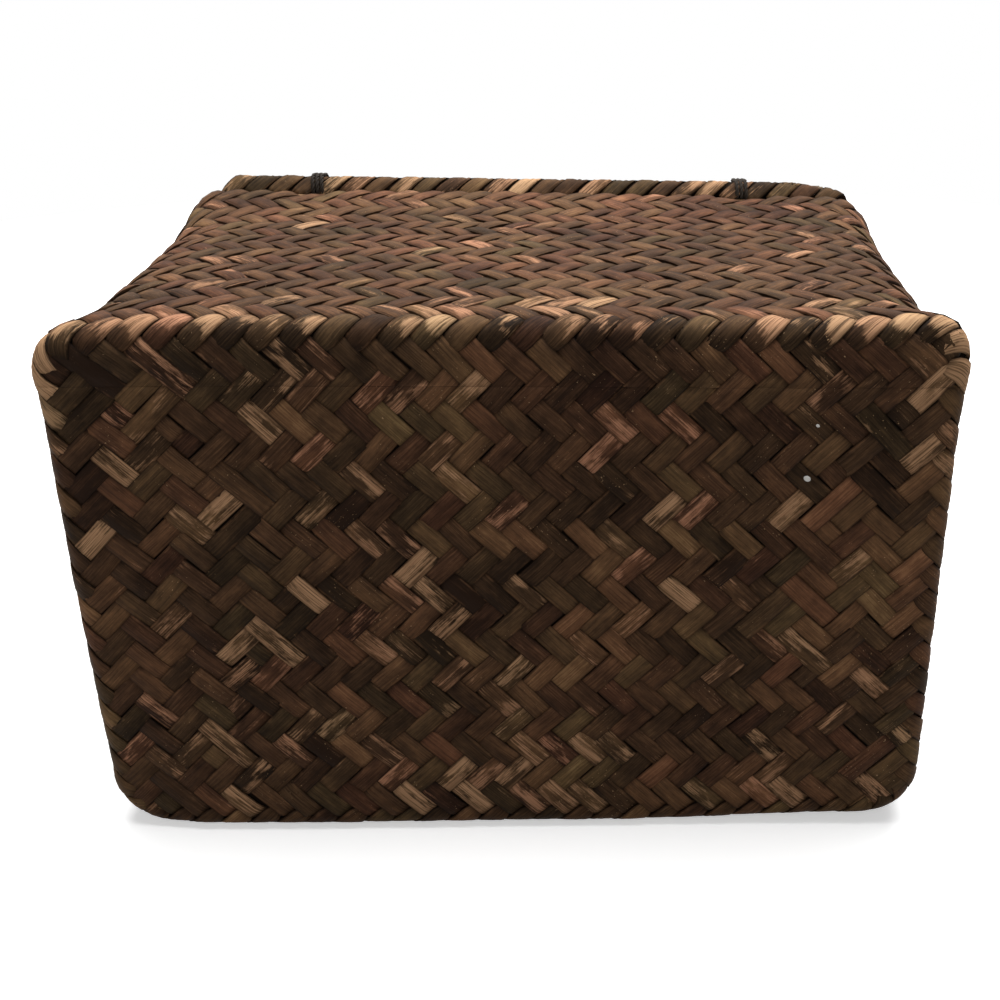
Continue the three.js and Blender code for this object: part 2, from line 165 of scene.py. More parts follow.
# where each pull begins and where it is full, in mm
zone = {
    "waveUp": (0, 60),
    "front": (-98, -72),
    "back": (20, 90),
    "cornerAcross": (112, 150),
    "cornerUp": (158, 196),
    "pullAcross": (60, 150),
    "pullUp": (20, 170),
    "tiltBack": (30, 95),
    "tiltUp": (120, 190),
    "liftAcross": (40, 150),
    "liftUp": (0, 90),
    "soleUp": (-0.5, 9),
    "squareAcross": (128, 146),
    "squareUp": (172, 190),
    "toeLeft": (-152, -108),
    "toeRight": (-130, 120),
    "toeUp": (0, 70),
    "riseBack": (35, 86),
    "riseUp": (184, 195),
    "dip": (4, 14),
}
underTable = 0.3  # share left of what would hang below the table
notch = {"x": 93.0, "radius": 9.6, "width": 13.0, "sides": 24, "dip": 0.5}


def ease(value, low, high):
    t = np.clip((value - low) / (high - low), 0, 1)
    return t * t * (3 - 2 * t)


def within(value, key):
    return ease(value, *zone[key])


def warp(x, y, z):
    z = np.where(z < 0, underTable * z, z)
    up = within(z, "waveUp")
    front = 1 - within(y, "front")
    middle = (1 - front) * (1 - within(y, "back"))
    wide = np.abs(x)
    side = np.sign(x)
    corner = within(wide, "cornerAcross") * within(z, "cornerUp")
    # slow waves; their lengths are in mm, and their phases are given
    dx = uneven["wave"] * np.sin(x / 61 + 0.7) * np.sin(z / 47 + y / 83 + 1.3) * up
    dy = uneven["wave"] * np.sin(x / 53 - 0.4) * np.sin(z / 41 + 0.5) * up
    dz = uneven["heave"] * np.sin(x / 71 + 1.9) * np.cos(y / 57) * up
    # front corners pulled out, shoulders slack behind them
    pull = np.where(x < 0, uneven["leftPull"], uneven["rightPull"])
    lift = np.where(x < 0, uneven["leftEarLift"], uneven["rightEarLift"])
    dx = dx + side * pull * within(wide, "pullAcross") * within(z, "pullUp") * front
    dx = dx + side * corner * (uneven["ear"] * front - uneven["slack"] * middle)
    dz = dz + corner * (lift * front - uneven["slack"] * middle)
    square = within(wide, "squareAcross") * within(z, "squareUp") * front
    dx = dx + uneven["squareOut"] * side * square
    dz = dz + uneven["squareUp"] * square
    # far rim tilted, right end of the base lifted, left toe drawn forward
    dz = dz - uneven["tilt"] * x / flatX * within(y, "tiltBack") * within(z, "tiltUp")
    dz = dz + uneven["rightLift"] * within(x, "liftAcross") * (1 - within(z, "liftUp"))
    dz = dz + uneven["sole"] * (1 - within(z, "soleUp"))
    toe = uneven["toe"] * within(x, "toeLeft") * (1 - within(x, "toeRight"))
    dy = dy - toe * (1 - within(z, "toeUp")) * front
    return x + dx, y + dy, z + dz


def slopedTop(x, y, z):
    # the lid's top rises to its rim, less where the lashings are
    rise = notch["dip"] + (1 - notch["dip"]) * within(np.abs(np.abs(x) - notch["x"]), "dip")
    return warp(x, y, z + uneven["rise"] * rise * within(y, "riseBack") * within(z, "riseUp"))


def asMade(x, y, z):
    return x, y, z


# one strip, modelled once: a slat with a crown, which each copy bends on its patch
strip = {
    "floatCuts": (6, 2),
    "loopCuts": (10, 4),
    "neckCuts": (16, 2),
    "thickness": 0.7,
    "crown": 0.08,
    "edgeShade": 0.16,
    "uvUnit": 10.0,
}
# how unlike each other hand-cut and hand-laid strips are
hand = {
    "width": (0.94, 1.05),
    "length": (0.985, 1.03),
    "bow": 0.2,
    "turn": 0.022,
    "place": 0.18,
    "roll": 0.1,
    "lift": (0.85, 1.18),
    "height": 0.06,
}
floatShape = {
    "along": [-1.28, -1.02, -0.82, 0.0, 0.82, 1.02, 1.28],
    "lift": [-0.6, 0.34, 0.64, 0.72, 0.64, 0.34, -0.6],
    "shade": [0.1, 0.7, 1.0, 1.0, 1.0, 0.7, 0.1],
}


def pickOnly(obj=None):
    # operators act on all that is picked
    bpy.ops.object.select_all(action="DESELECT")
    if obj is not None:
        bpy.context.view_layer.objects.active = obj
        obj.select_set(True)


def modelSlat(name, cuts):
    pickOnly()
    bpy.ops.mesh.primitive_grid_add(x_subdivisions=cuts[0], y_subdivisions=cuts[1], size=2)
    slat = bpy.context.object
    slat.name = name
    bpy.ops.object.mode_set(mode="EDIT")
    bpy.ops.mesh.select_all(action="SELECT")
    bpy.ops.mesh.extrude_region_move(TRANSFORM_OT_translate={"value": (0, 0, -1)})
    bpy.ops.mesh.select_all(action="SELECT")
    bpy.ops.mesh.normals_make_consistent(inside=False)
    bpy.ops.object.mode_set(mode="OBJECT")
    # the operators number a mesh anew in each run, so its vertices and faces are put in order
    points = np.array([v.co[:] for v in slat.data.vertices])
    order = np.lexsort(np.round(points, 3).T)
    rank = np.argsort(order).tolist()
    rings = []
    for polygon in slat.data.polygons:
        ring = [rank[i] for i in polygon.vertices]
        first = ring.index(min(ring))
        rings.append((tuple(ring[first:] + ring[:first]), abs(polygon.normal.z) > 0.5))
    rings.sort()
    bpy.data.objects.remove(slat)
    return points[order], [ring for ring, _ in rings], [smooth for _, smooth in rings]


shortSlat = modelSlat("strip", strip["floatCuts"])
longSlat = modelSlat("loop", strip["loopCuts"])
neckSlat = modelSlat("neckLoop", strip["neckCuts"])


def makeMesh(name, points, faces, smooth, uv, shade, tone, material, body):
    mesh = bpy.data.meshes.new(name)
    mesh.from_pydata(points.tolist(), [], faces)
    layer = mesh.uv_layers.new(name="along")
    corners = np.empty(len(mesh.loops), dtype=np.int32)
    mesh.loops.foreach_get("vertex_index", corners)
    layer.data.foreach_set("uv", uv[corners].astype(np.float32).ravel())
    colour = mesh.attributes.new("strip", "FLOAT_COLOR", "POINT")
    colour.data.foreach_set("color", tone.astype(np.float32).ravel())
    value = mesh.attributes.new("shade", "FLOAT", "POINT")
    value.data.foreach_set("value", shade.astype(np.float32).ravel())
    mesh.polygons.foreach_set("use_smooth", smooth)
    mesh.materials.append(material)
    mesh.validate()
    obj = bpy.data.objects.new(name, mesh)
    bpy.context.collection.objects.link(obj)
    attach(obj, body)
    return obj


def weave(name, slat, shape, patch, places, material, body, form=warp):
    # places: rows of u, v, lean (+1 or -1), crossings passed over, tone, hue, wear
    base, slatFaces, slatSmooth = slat
    n, m = len(places), len(base)
    endways, across, under = base[None, :, 0], base[None, :, 1], base[None, :, 2]

    def profile(key, plain=1.0):
        values = shape.get(key, [plain, plain])
        return np.interp(endways, np.linspace(-1, 1, len(values)), values)

    def spread(key):
        return rng.normal(0, hand[key], (n, 1))

    def vary(key):
        return rng.uniform(*hand[key], (n, 1))

    u, v, lean, cells, tone, hue, wear = [places[:, i : i + 1] for i in range(7)]
    wide = stripWidth / 2 * vary("width")
    along = profile("along") + np.sign(np.round(endways, 2)) * (cells / 2 - 1)
    l = along * stripWidth * vary("length")
    t = across * wide * profile("taper") + spread("bow") * (1 - endways**2)
    angle = math.pi / 4 + spread("turn")
    c, s = np.cos(angle), np.sin(angle)
    uu = u + spread("place") + l * c - t * s * lean
    vv = v + spread("place") + (l * s) * lean + t * c
    roll = spread("roll")
    h = profile("lift") * vary("lift") + spread("height")
    h = h + profile("crown", strip["crown"]) * (1 - across**2) + roll * across
    h = h + under * strip["thickness"]
    points = np.stack(form(*patch(uu, vv, h)), -1).reshape(-1, 3) * mm
    faces = [tuple(i + k * m for i in f) for k in range(n) for f in slatFaces]
    even = np.ones((n, m))
    # painted shade, kept in the shade attribute: each strip is darker towards its ends and long edges, where
    # it dives under its neighbours
    edge = 1 - strip["edgeShade"] * np.abs(across) ** 3
    shade = (profile("shade") * edge * even).reshape(-1)
    uv = np.stack([l * even, across * even * stripWidth / 2], -1).reshape(-1, 2) / strip["uvUnit"]
    seed = rng.uniform(0, 1, (n, 1))
    colour = [tone * profile("tone"), hue * even, wear * profile("wear"), seed * even]
    colour = np.stack(colour, -1).reshape(-1, 4)
    return makeMesh(name, points, faces, slatSmooth * n, uv, shade, colour, material, body)


def everywhere(u, v):
    return True


def rowsOf(uRange, vRange, uPhase, vPhase, keep=everywhere):
    # lattice of floats: rows of rising and rows of falling strips in turn, half a pitch apart
    found = []
    first = math.ceil((vRange[0] - vPhase) / pitch)
    last = math.floor((vRange[1] - vPhase) / pitch)
    for k in range(first, last + 1):
        v = vPhase + k * pitch
        lean = 1 if k % 2 == 0 else -1
        shift = uPhase + (0 if lean > 0 else pitch / 2)
        start = math.ceil((uRange[0] - shift) / pitch)
        stop = math.ceil((uRange[1] - shift) / pitch)
        for i in range(start, stop):
            u = shift + i * pitch
            if keep(u, v):
                found.append((u, v, lean, 2))
    return np.array(found)


def runsOf(uPhase, vPhase, inside, inColumns):
    # crossings of the strips: each shows one strip, and a strip's shown neighbours make one float

    def crossing(i, j):
        return uPhase + pitch / 4 + (i + j) * pitch / 2, vPhase + pitch / 4 + (j - i) * pitch / 2

    shown = {}
    reach = range(-plait["lattice"], plait["lattice"])
    for i in reach:
        for j in reach:
            u, v = crossing(i, j)
            if inside(u, v):
                count = i + j if inColumns(u, v) else j - i
                shown[i, j] = 1 if (count + 1) % plait["repeat"] < 2 else -1
    found = []
    for lean, di, dj in ((1, 0, 1), (-1, 1, 0)):
        for (i, j), top in shown.items():
            if top != lean or shown.get((i - di, j - dj)) == lean:
                continue
            cells = 1
            while cells < plait["longest"] and shown.get((i + cells * di, j + cells * dj)) == lean:
                cells += 1
            after = (i + cells * di, j + cells * dj)
            if shown.get(after) == lean:
                shown[after] = -lean
            middle = (cells - 1) / 2
            u, v = crossing(i + di * middle, j + dj * middle)
            found.append((u, v, lean, cells))
    return np.array(found)


# columns of a place that a tone fills in
toneAt, hueAt, wearAt = 4, 5, 6
leafSpread = {"hue": 0.24, "wornFrom": 0.35, "unwornTo": 0.25}


def toned(places, tone, spread, wearShare, wearTop, hue=0.5):
    n = len(places)
    tones = np.clip(rng.normal(tone, spread, n), 0, 1)
    hues = np.clip(rng.normal(hue, leafSpread["hue"], n), 0, 1)
    isWorn = rng.uniform(0, 1, n) < wearShare
    worn = rng.uniform(leafSpread["wornFrom"], wearTop, n)
    wears = np.where(isWorn, worn, rng.uniform(0, leafSpread["unwornTo"], n))
    return np.column_stack([places, tones, hues, wears])


def rub(places, marks, reach=9.0, tone=0.5):
    # single worn strips: across, along, wear, hue
    for u, v, wear, hue in marks:
        far = np.hypot(places[:, 0] - u, places[:, 1] - v)
        k = np.argmin(far)
        if far[k] < reach:
            places[k, toneAt:] = tone, hue, wear


# materials


class Graph:
    def __init__(self, holder):
        holder.use_nodes = True
        self.holder = holder
        self.tree = holder.node_tree
        self.tree.nodes.clear()

    def node(self, kind, inputs=None, **settings):
        made = self.tree.nodes.new(kind)
        for key, value in settings.items():
            setattr(made, key, value)
        for key, value in (inputs or {}).items():
            if isinstance(value, bpy.types.NodeSocket):
                self.tree.links.new(value, made.inputs[key])
            else:
                made.inputs[key].default_value = value
        return made

    def math(self, operation, a, b=0.0, clamp=False):
        made = self.node("ShaderNodeMath", {0: a, 1: b}, operation=operation, use_clamp=clamp)
        return made.outputs[0]

    def vector(self, operation, a, b):
        return self.node("ShaderNodeVectorMath", {0: a, 1: b}, operation=operation).outputs[0]

    def span(self, value, ends, to=(0.0, 1.0)):
        inputs = {0: value, 1: ends[0], 2: ends[1], 3: to[0], 4: to[1]}
        return self.node("ShaderNodeMapRange", inputs, clamp=True).outputs[0]

    def ramp(self, factor, stops):
        made = self.node("ShaderNodeValToRGB", {0: factor})
        ramp = made.color_ramp
        while len(ramp.elements) < len(stops):
            ramp.elements.new(0.5)
        for element, (place, colour) in zip(ramp.elements, stops):
            element.position = place
            element.color = (*colour, 1)
        return made.outputs[0]

    def mix(self, factor, a, b, blend="MIX"):
        colours = [c if isinstance(c, bpy.types.NodeSocket) else (*c, 1) for c in (a, b)]
        inputs = {0: factor, 6: colours[0], 7: colours[1]}
        return self.node("ShaderNodeMix", inputs, data_type="RGBA", blend_type=blend).outputs[2]

    def noise(self, vector, scale, detail=3.0, rough=0.55):
        inputs = {"Vector": vector, "Scale": scale, "Detail": detail, "Roughness": rough}
        return self.node("ShaderNodeTexNoise", inputs).outputs[0]

    def finish(self, colour, rough, height, strength, distance, specular):
        bump = self.node("ShaderNodeBump", {"Strength": strength, "Distance": distance, "Height": height})
        inputs = {
            "Base Color": colour,
            "Roughness": rough,
            "Specular IOR Level": specular,
            "Normal": bump.outputs[0],
        }
        shader = self.node("ShaderNodeBsdfPrincipled", inputs)
        self.node("ShaderNodeOutputMaterial", {0: shader.outputs[0]})
        return self.holder

    def seenRay(self):
        # 1 for what the camera sees, straight, mirrored or through
        path = self.node("ShaderNodeLightPath").outputs
        ray = self.math("ADD", path["Is Camera Ray"], path["Is Glossy Ray"])
        return self.math("ADD", ray, path["Is Transmission Ray"], clamp=True)


leaf = {
    "dark": (0.016, 0.0086, 0.0053),
    "brown": (0.065, 0.0365, 0.0222),
    "light": (0.150, 0.0820, 0.0460),
    "pale": (0.260, 0.1520, 0.0840),
    "olive": (0.94, 1.04, 0.84),
    "red": (1.16, 0.92, 0.86),
    "wornLow": (0.20, 0.100, 0.050),
    "wornHigh": (0.62, 0.400, 0.215),
    "pink": (1.08, 0.84, 0.92),
    "stops": (0.0, 0.4, 0.75, 1.0),
    "wornStops": (0.35, 0.95),
    "jump": (91.0, 57.0),
    "rough": (0.55, 0.8),
    "bump": (0.5, 0.0006),
    "specular": 0.05,
}
# each grain of the leaf: how often along and across the strip, detail, roughness
leafGrain = {
    "fibre": (0.5, 15.0, 4.0, 0.65),
    "fine": (1.2, 46.0, 2.0, 0.5),
    "cloud": (1.1, 2.0, 4.0, 0.65),
    "patchy": (0.75, 1.9, 4.0, 0.6),
    "crack": (0.45, 24.0, 2.0, 0.5),
    "dots": (11.0, 16.0, 1.0, 0.55),
}
# grains that lie over many strips: how often in a metre, detail, roughness
spotGrain = {"grime": (24.0, 3.0, 0.6), "dotPatch": (55.0, 3.0, 0.55)}
# how much each grain moves the tone
leafSwing = {"fibre": 1.1, "cloud": 0.9, "grime": 0.9, "fine": 0.5}
# how strong each mark is
leafAmount = {
    "wearMask": 0.6,
    "fibreMask": 0.5,
    "cracked": 0.25,
    "fibreBright": 0.9,
    "wearBright": 0.35,
    "edge": 0.4,
    "dots": 0.7,
    "creaseShade": 0.3,
    "gap": 0.12,
    "fibreHeight": 0.8,
    "fineHeight": 0.35,
}
# where each mark of wear begins and where it is full
leafMarks = {
    "worn": (1.02, 1.16),
    "crack": (0.54, 0.62),
    "edge": (0.27, 0.32),
    "edgeCloud": (0.5, 0.62),
    "dots": (0.72, 0.76),
    "dotPatch": (0.52, 0.62),
    "creaseShade": (0.325, 0.376),
    "gap": (0.05, 0.95),
    "rough": (0.2, 0.8),
}


def leafMaterial(name, gain=1.0):
    g = Graph(bpy.data.materials.new(name))
    data = g.node("ShaderNodeAttribute", attribute_name="strip")
    parts = g.node("ShaderNodeSeparateColor", {0: data.outputs["Color"]}).outputs
    tone, hue, wear = parts[0], parts[1], parts[2]
    seed = data.outputs["Alpha"]
    shade = g.node("ShaderNodeAttribute", attribute_name="shade").outputs["Fac"]
    uv = g.node("ShaderNodeUVMap", uv_map="along").outputs[0]
    spot = g.node("ShaderNodeTexCoord").outputs["Object"]
    # each strip reads its own part of the grain
    jump = [g.math("MULTIPLY", seed, far) for far in leaf["jump"]]
    jump = g.node("ShaderNodeCombineXYZ", {0: jump[0], 1: jump[1], 2: seed}).outputs[0]
    place = g.vector("ADD", uv, jump)

    def grain(key):
        along, across, detail, rough = leafGrain[key]
        return g.noise(g.vector("MULTIPLY", place, (along, across, 1.0)), 1.0, detail, rough)

    def part(value, key):
        return g.math("MULTIPLY", value, leafAmount[key])

    grains = {key: grain(key) for key in leafGrain}
    for key, (scale, detail, rough) in spotGrain.items():
        grains[key] = g.noise(spot, scale, detail, rough)
    fibre = grains["fibre"]
    value = tone
    for key, swing in leafSwing.items():
        away = g.math("MULTIPLY", g.math("SUBTRACT", grains[key], 0.5), swing)
        value = g.math("ADD", value, away, clamp=key == "fine")
    browns = [leaf[key] for key in ("dark", "brown", "light", "pale")]
    colour = g.ramp(value, list(zip(leaf["stops"], browns)))
    colour = g.mix(1.0, colour, g.mix(hue, leaf["olive"], leaf["red"]), "MULTIPLY")
    # worn skin, broken by cracks along the fibre
    mask = g.math("ADD", grains["patchy"], part(wear, "wearMask"))
    mask = g.math("ADD", mask, part(fibre, "fibreMask"))
    unbroken = g.span(grains["crack"], leafMarks["crack"], (1.0, leafAmount["cracked"]))
    mask = g.math("MULTIPLY", g.span(mask, leafMarks["worn"]), unbroken)
    bright = g.math("ADD", part(fibre, "fibreBright"), part(wear, "wearBright"))
    tan = g.ramp(bright, list(zip(leaf["wornStops"], (leaf["wornLow"], leaf["wornHigh"]))))
    tan = g.mix(hue, tan, g.mix(1.0, tan, leaf["pink"], "MULTIPLY"))
    colour = g.mix(mask, colour, tan)
    # a thin lighter line just inside each strip's long edges, in patches
    side = g.math("ABSOLUTE", g.node("ShaderNodeSeparateXYZ", {0: uv}).outputs[1])
    edgeLine = g.span(side, leafMarks["edge"])
    edgeLine = g.math("MULTIPLY", edgeLine, g.span(grains["cloud"], leafMarks["edgeCloud"]))
    colour = g.mix(part(edgeLine, "edge"), colour, leaf["wornLow"])
    # pale dots in patches
    dots = g.span(grains["dots"], leafMarks["dots"])
    dots = g.math("MULTIPLY", dots, g.span(grains["dotPatch"], leafMarks["dotPatch"]))
    colour = g.mix(part(dots, "dots"), colour, leaf["wornHigh"])
    # painted shade where a strip dives under its neighbours, and a thin painted shade line along its long
    # edges
    creaseShade = g.span(side, leafMarks["creaseShade"], (1.0, leafAmount["creaseShade"]))
    gap = g.span(g.math("MULTIPLY", shade, creaseShade), leafMarks["gap"], (leafAmount["gap"], gain))
    grey = g.node("ShaderNodeCombineColor", {0: gap, 1: gap, 2: gap}).outputs[0]
    colour = g.mix(1.0, colour, grey, "MULTIPLY")
    rough = g.span(fibre, leafMarks["rough"], leaf["rough"])
    height = g.math("ADD", part(fibre, "fibreHeight"), part(grains["fine"], "fineHeight"))
    return g.finish(colour, rough, height, *leaf["bump"], leaf["specular"])


# plain finishes: grain on the object, from a low to a high colour
plainLook = {"detail": 4.0, "stops": (0.3, 0.75), "bump": (0.25, 0.0003)}
underLook = {"scale": (90.0, 90.0, 90.0), "rough": 0.9, "specular": 0.02}
bambooLook = {
    "low": (0.080, 0.050, 0.027),
    "high": (0.170, 0.112, 0.060),
    "scale": (25.0, 300.0, 300.0),
    "rough": 0.6,
    "specular": 0.15,
}
twineLook = {
    "stops": [(0.3, (0.012, 0.009, 0.007)), (0.62, (0.046, 0.036, 0.028)), (0.9, (0.13, 0.105, 0.085))],
    "scale": (3.0, 9.0, 1.0),
    "detail": 4.0,
    "grain": 0.6,
    "rough": 0.85,
    "bump": (0.5, 0.0003),
    "specular": 0.2,
}


def plainMaterial(name, low, high, scale, rough, specular):
    g = Graph(bpy.data.materials.new(name))
    spot = g.node("ShaderNodeTexCoord").outputs["Object"]
    grain = g.noise(g.vector("MULTIPLY", spot, scale), 1.0, plainLook["detail"])
    colour = g.ramp(grain, list(zip(plainLook["stops"], (low, high))))
    return g.finish(colour, rough, grain, *plainLook["bump"], specular)


def twineMaterial(name):
    g = Graph(bpy.data.materials.new(name))
    uv = g.node("ShaderNodeUVMap", uv_map="along").outputs[0]
    stretched = g.vector("MULTIPLY", uv, twineLook["scale"])
    hair = g.noise(stretched, 1.0, twineLook["detail"], twineLook["grain"])
    colour = g.ramp(hair, twineLook["stops"])
    return g.finish(colour, twineLook["rough"], hair, *twineLook["bump"], twineLook["specular"])


leafSkin = leafMaterial("plaited leaf")
liningSkin = leafMaterial("lining leaf", gain=0.85)
# painted shade: the under layer finishes are far darker than the leaf, as shade in the gaps between strips
# and loops
shadowSkin = plainMaterial("under layer", (0.008, 0.005, 0.0035), (0.021, 0.013, 0.0085), **underLook)
liningShadow = plainMaterial("lining under layer", (0.020, 0.012, 0.008), (0.050, 0.030, 0.018), **underLook)
bambooSkin = plainMaterial("split bamboo", **bambooLook)
twineSkin = twineMaterial("twine")
print("materials ready")

# under layers: the solids' own shapes, dark with painted shade, seen only in the gaps between strips
# piece, body, finish, and by how many mm outer faces sink or inner faces are thinned
underLayers = {
    "outer_basket": ("bodyUnderLayer", "body", shadowSkin, {"depth": 0.9}),
    "inner_basket": ("liningUnderLayer", "body", liningShadow, {"thin": 0.8}),
    "lid_outer_weave": ("lidUnderLayer", "lid", shadowSkin, {"depth": 0.9}),
    "lid_lining": ("lidLiningUnderLayer", "lid", liningShadow, {"thin": 0.8}),
}
underEdge = {"longest": 0.022, "rounds": 5, "merge": 0.001 * mm}
slopeStep = 0.05  # mm to either side of a point where its slope is taken


def shortEdged(source, longest):
    work = bmesh.new()
    work.from_mesh(source)
    bmesh.ops.remove_doubles(work, verts=work.verts[:], dist=underEdge["merge"])
    for _ in range(underEdge["rounds"]):
        long = [e for e in work.edges if e.calc_length() > longest]
        if not long:
            break
        bmesh.ops.subdivide_edges(work, edges=long, cuts=1)
        bmesh.ops.triangulate(work, faces=work.faces[:])
    mesh = bpy.data.meshes.new("underLayer")
    work.to_mesh(mesh)
    work.free()
    return mesh


def rounded(a, b, r):
    # distance from a rounded edge between two faces
    return np.hypot(np.maximum(a, 0), np.maximum(b, 0)) + np.minimum(np.maximum(a, b), 0) - r


def formDistance(p):
    # how far a point lies outside the box's rounded form
    out = rounded(np.abs(p[:, 0]) - flatX, np.abs(p[:, 2] - halfH) - flatZ / 2, box["broad"])
    return rounded(out + box["tight"], np.abs(p[:, 1]) - halfD + box["tight"], box["tight"])


def sink(co, depth):
    # outer faces go down to an even depth under the strips
    far = formDistance(co)
    steps = slopeStep * np.eye(3)
    slope = np.stack([formDistance(co + step) - formDistance(co - step) for step in steps], -1)
    slope /= np.maximum(np.linalg.norm(slope, axis=1), tiny)[:, None]
    down = np.where(far > -2 * depth, np.maximum(far + depth, 0), 0)
    return co - slope * down[:, None]


def followForm(mesh, thin=0.0, depth=0.0):
    co = np.empty(len(mesh.vertices) * 3)
    mesh.vertices.foreach_get("co", co)
    normal = np.array([n.vector[:] for n in mesh.vertex_normals])
    co = co.reshape(-1, 3) / mm
    inward = np.sum(normal * (co - (0, 0, halfH)), axis=1) < 0
    co = co - normal * (thin * inward)[:, None]
    if depth:
        co = sink(co, depth)
    moved = np.stack(warp(co[:, 0], co[:, 1], co[:, 2]), -1) * mm
    mesh.vertices.foreach_set("co", moved.ravel())


def cutNotch(obj, x):
    # room for a lashing round the lid's turning edge
    pickOnly()
    bpy.ops.mesh.primitive_cylinder_add(
        vertices=notch["sides"],
        radius=notch["radius"] * mm,
        depth=notch["width"] * mm,
        location=[v * mm for v in (x, *box["lidRoll"])],
        rotation=(0, math.pi / 2, 0),
    )
    cutter = bpy.context.object
    pickOnly(obj)
    bpy.ops.object.modifier_add(type="BOOLEAN")
    cut = obj.modifiers[-1]
    cut.operation = "DIFFERENCE"
    cut.object = cutter
    bpy.ops.object.modifier_apply(modifier=cut.name)
    bpy.data.objects.remove(cutter)


for node, (name, body, skin, under) in underLayers.items():
    mesh = shortEdged(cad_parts[node].data, underEdge["longest"])
    mesh.materials.append(skin)
    followForm(mesh, **under)
    layer = bpy.data.objects.new(name, mesh)
    bpy.context.collection.objects.link(layer)
    if body == "lid":
        cutNotch(layer, -notch["x"])
        cutNotch(layer, notch["x"])
    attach(layer, body)
    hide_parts(node)
for node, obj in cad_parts.items():
    if "splint" in node or "cane" in node:
        obj.data.materials.clear()
        obj.data.materials.append(bambooSkin)
print("under layers ready")

# the walls: top, sides and underside, in rows at constant depth
wall = {
    "rows": (-92, 96),
    "lidEdge": 1,
    "nearRoll": 5,
    "nearSeam": 9,
    "lidTone": {"tone": 0.5, "spread": 0.07, "wearShare": 0.06, "wearTop": 0.5, "hue": 0.6},
    "sideTone": {"tone": 0.42, "spread": 0.14, "wearShare": 0.10, "wearTop": 0.7},
    "seamTone": {"tone": 0.47, "spread": 0.14, "wearShare": 0.10, "wearTop": 0.7},
    "crestBefore": -75,
    "crestShare": 0.5,
    "crestGain": 0.1,
    "crestWear": (0.25, 0.6),
    "redPatch": (70, 62),
    "redReach": 42,
    "redGain": 0.35,
    "shoulderFrom": flatX + 4,
}
topShape = {
    "along": [-1.3, -1.04, -0.66, 0.0, 0.66, 1.04, 1.3],
    "lift": [-0.7, 0.26, 0.78, 0.95, 0.78, 0.26, -0.7],
    "shade": [0.05, 0.55, 0.98, 1.0, 0.98, 0.55, 0.05],
    "crown": [0.1, 0.14, 0.18, 0.2, 0.18, 0.14, 0.1],
}
looseShape = {**topShape, "lift": [-0.7, 0.5, 1.2, 1.45, 1.2, 0.5, -0.7]}
# worn strips of the top: x, y, wear, hue
topRubs = [
    (-19, -3, 0.7, 0.9),
    (-86, 31, 0.7, 0.3),
    (31, -76, 0.75, 0.2),
    (102, -15, 0.55, 0.6),
    (-104, -50, 0.5, 0.9),
]


def outlineSpots(places):
    x, z, _, _ = outline(places[:, 0], 0.0)
    return x, z


wallPlaces = rowsOf((0, around - 1), wall["rows"], topPhase, plait["rowPhase"])
wallX, wallZ = outlineSpots(wallPlaces)
wallY = wallPlaces[:, 1]
isLid = (wallZ > box["seam"]) & (wallY < lidBack - wall["lidEdge"])
nearRoll = (np.abs(wallX) < flatX) & (wallZ > box["topFrom"]) & (wallY > lidBack - wall["nearRoll"])
seamSide = (np.abs(wallZ - box["seam"]) < wall["nearSeam"]) & (wallY < lidBack + wall["nearSeam"])
seamBack = (wallZ > box["seam"]) & (np.abs(wallY - lidBack) < wall["nearSeam"])
onSeam = (seamSide | seamBack) & ~nearRoll
lidPlaces = toned(wallPlaces[isLid & ~nearRoll & ~onSeam], **wall["lidTone"])
chosen = rng.uniform(0, 1, len(lidPlaces)) < wall["crestShare"]
nearCrest = (lidPlaces[:, 1] < wall["crestBefore"]) & chosen
lidPlaces[nearCrest, toneAt] += wall["crestGain"]
lidPlaces[nearCrest, wearAt] = rng.uniform(*wall["crestWear"], nearCrest.sum())
rub(lidPlaces, [(x + flatX, y, wear, hue) for x, y, wear, hue in topRubs])
fromPatch = np.hypot(lidPlaces[:, 0] - flatX - wall["redPatch"][0], lidPlaces[:, 1] - wall["redPatch"][1])
reddish = fromPatch < wall["redReach"]
lidPlaces[reddish, hueAt] = np.clip(lidPlaces[reddish, hueAt] + wall["redGain"], 0, 1)
sidePlaces = toned(wallPlaces[~isLid & ~nearRoll & ~onSeam], **wall["sideTone"])
seamPlaces = toned(wallPlaces[onSeam], **wall["seamTone"])
fromMiddle = np.abs(np.mod(lidPlaces[:, 0] - flatX + around / 2, around) - around / 2)
shoulder = fromMiddle > wall["shoulderFrom"]
weave("lidTopStrips", shortSlat, topShape, wallPatch, lidPlaces[~shoulder], leafSkin, "lid", slopedTop)
weave("lidShoulderStrips", shortSlat, looseShape, wallPatch, lidPlaces[shoulder], leafSkin, "lid", slopedTop)
weave("bodySideStrips", shortSlat, floatShape, wallPatch, sidePlaces, leafSkin, "body")

# strips that cross the seam are cut there, and the lid and the body each keep their share
seam = {"gap": 0.05, "wallGap": 0.1, "backGap": 0.3, "front": 13.0, "loops": 10.0}
upward, downward = (0, 0, 1), (0, 0, -1)
backward, forward = (0, 1, 0), (0, -1, 0)


def keepBeyond(obj, place, direction):
    # cut straight and closed, keeping what lies the way the direction points
    pickOnly(obj)
    bpy.ops.object.mode_set(mode="EDIT")
    bpy.ops.mesh.select_all(action="SELECT")
    plane = [v * mm for v in place]
    bpy.ops.mesh.bisect(plane_co=plane, plane_no=direction, use_fill=True, clear_inner=True)
    bpy.ops.object.mode_set(mode="OBJECT")


def bodyShare(strips, name):
    share = bpy.data.objects.new(name, strips.data.copy())
    bpy.context.collection.objects.link(share)
    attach(share, "body")
    return share


def splitAtSeam(strips, name):
    # the lid keeps what lies above the seam, the body gets the rest
    keepBeyond(bodyShare(strips, name), (0, 0, box["seam"] - seam["gap"]), downward)
    keepBeyond(strips, (0, 0, box["seam"] + seam["gap"]), upward)


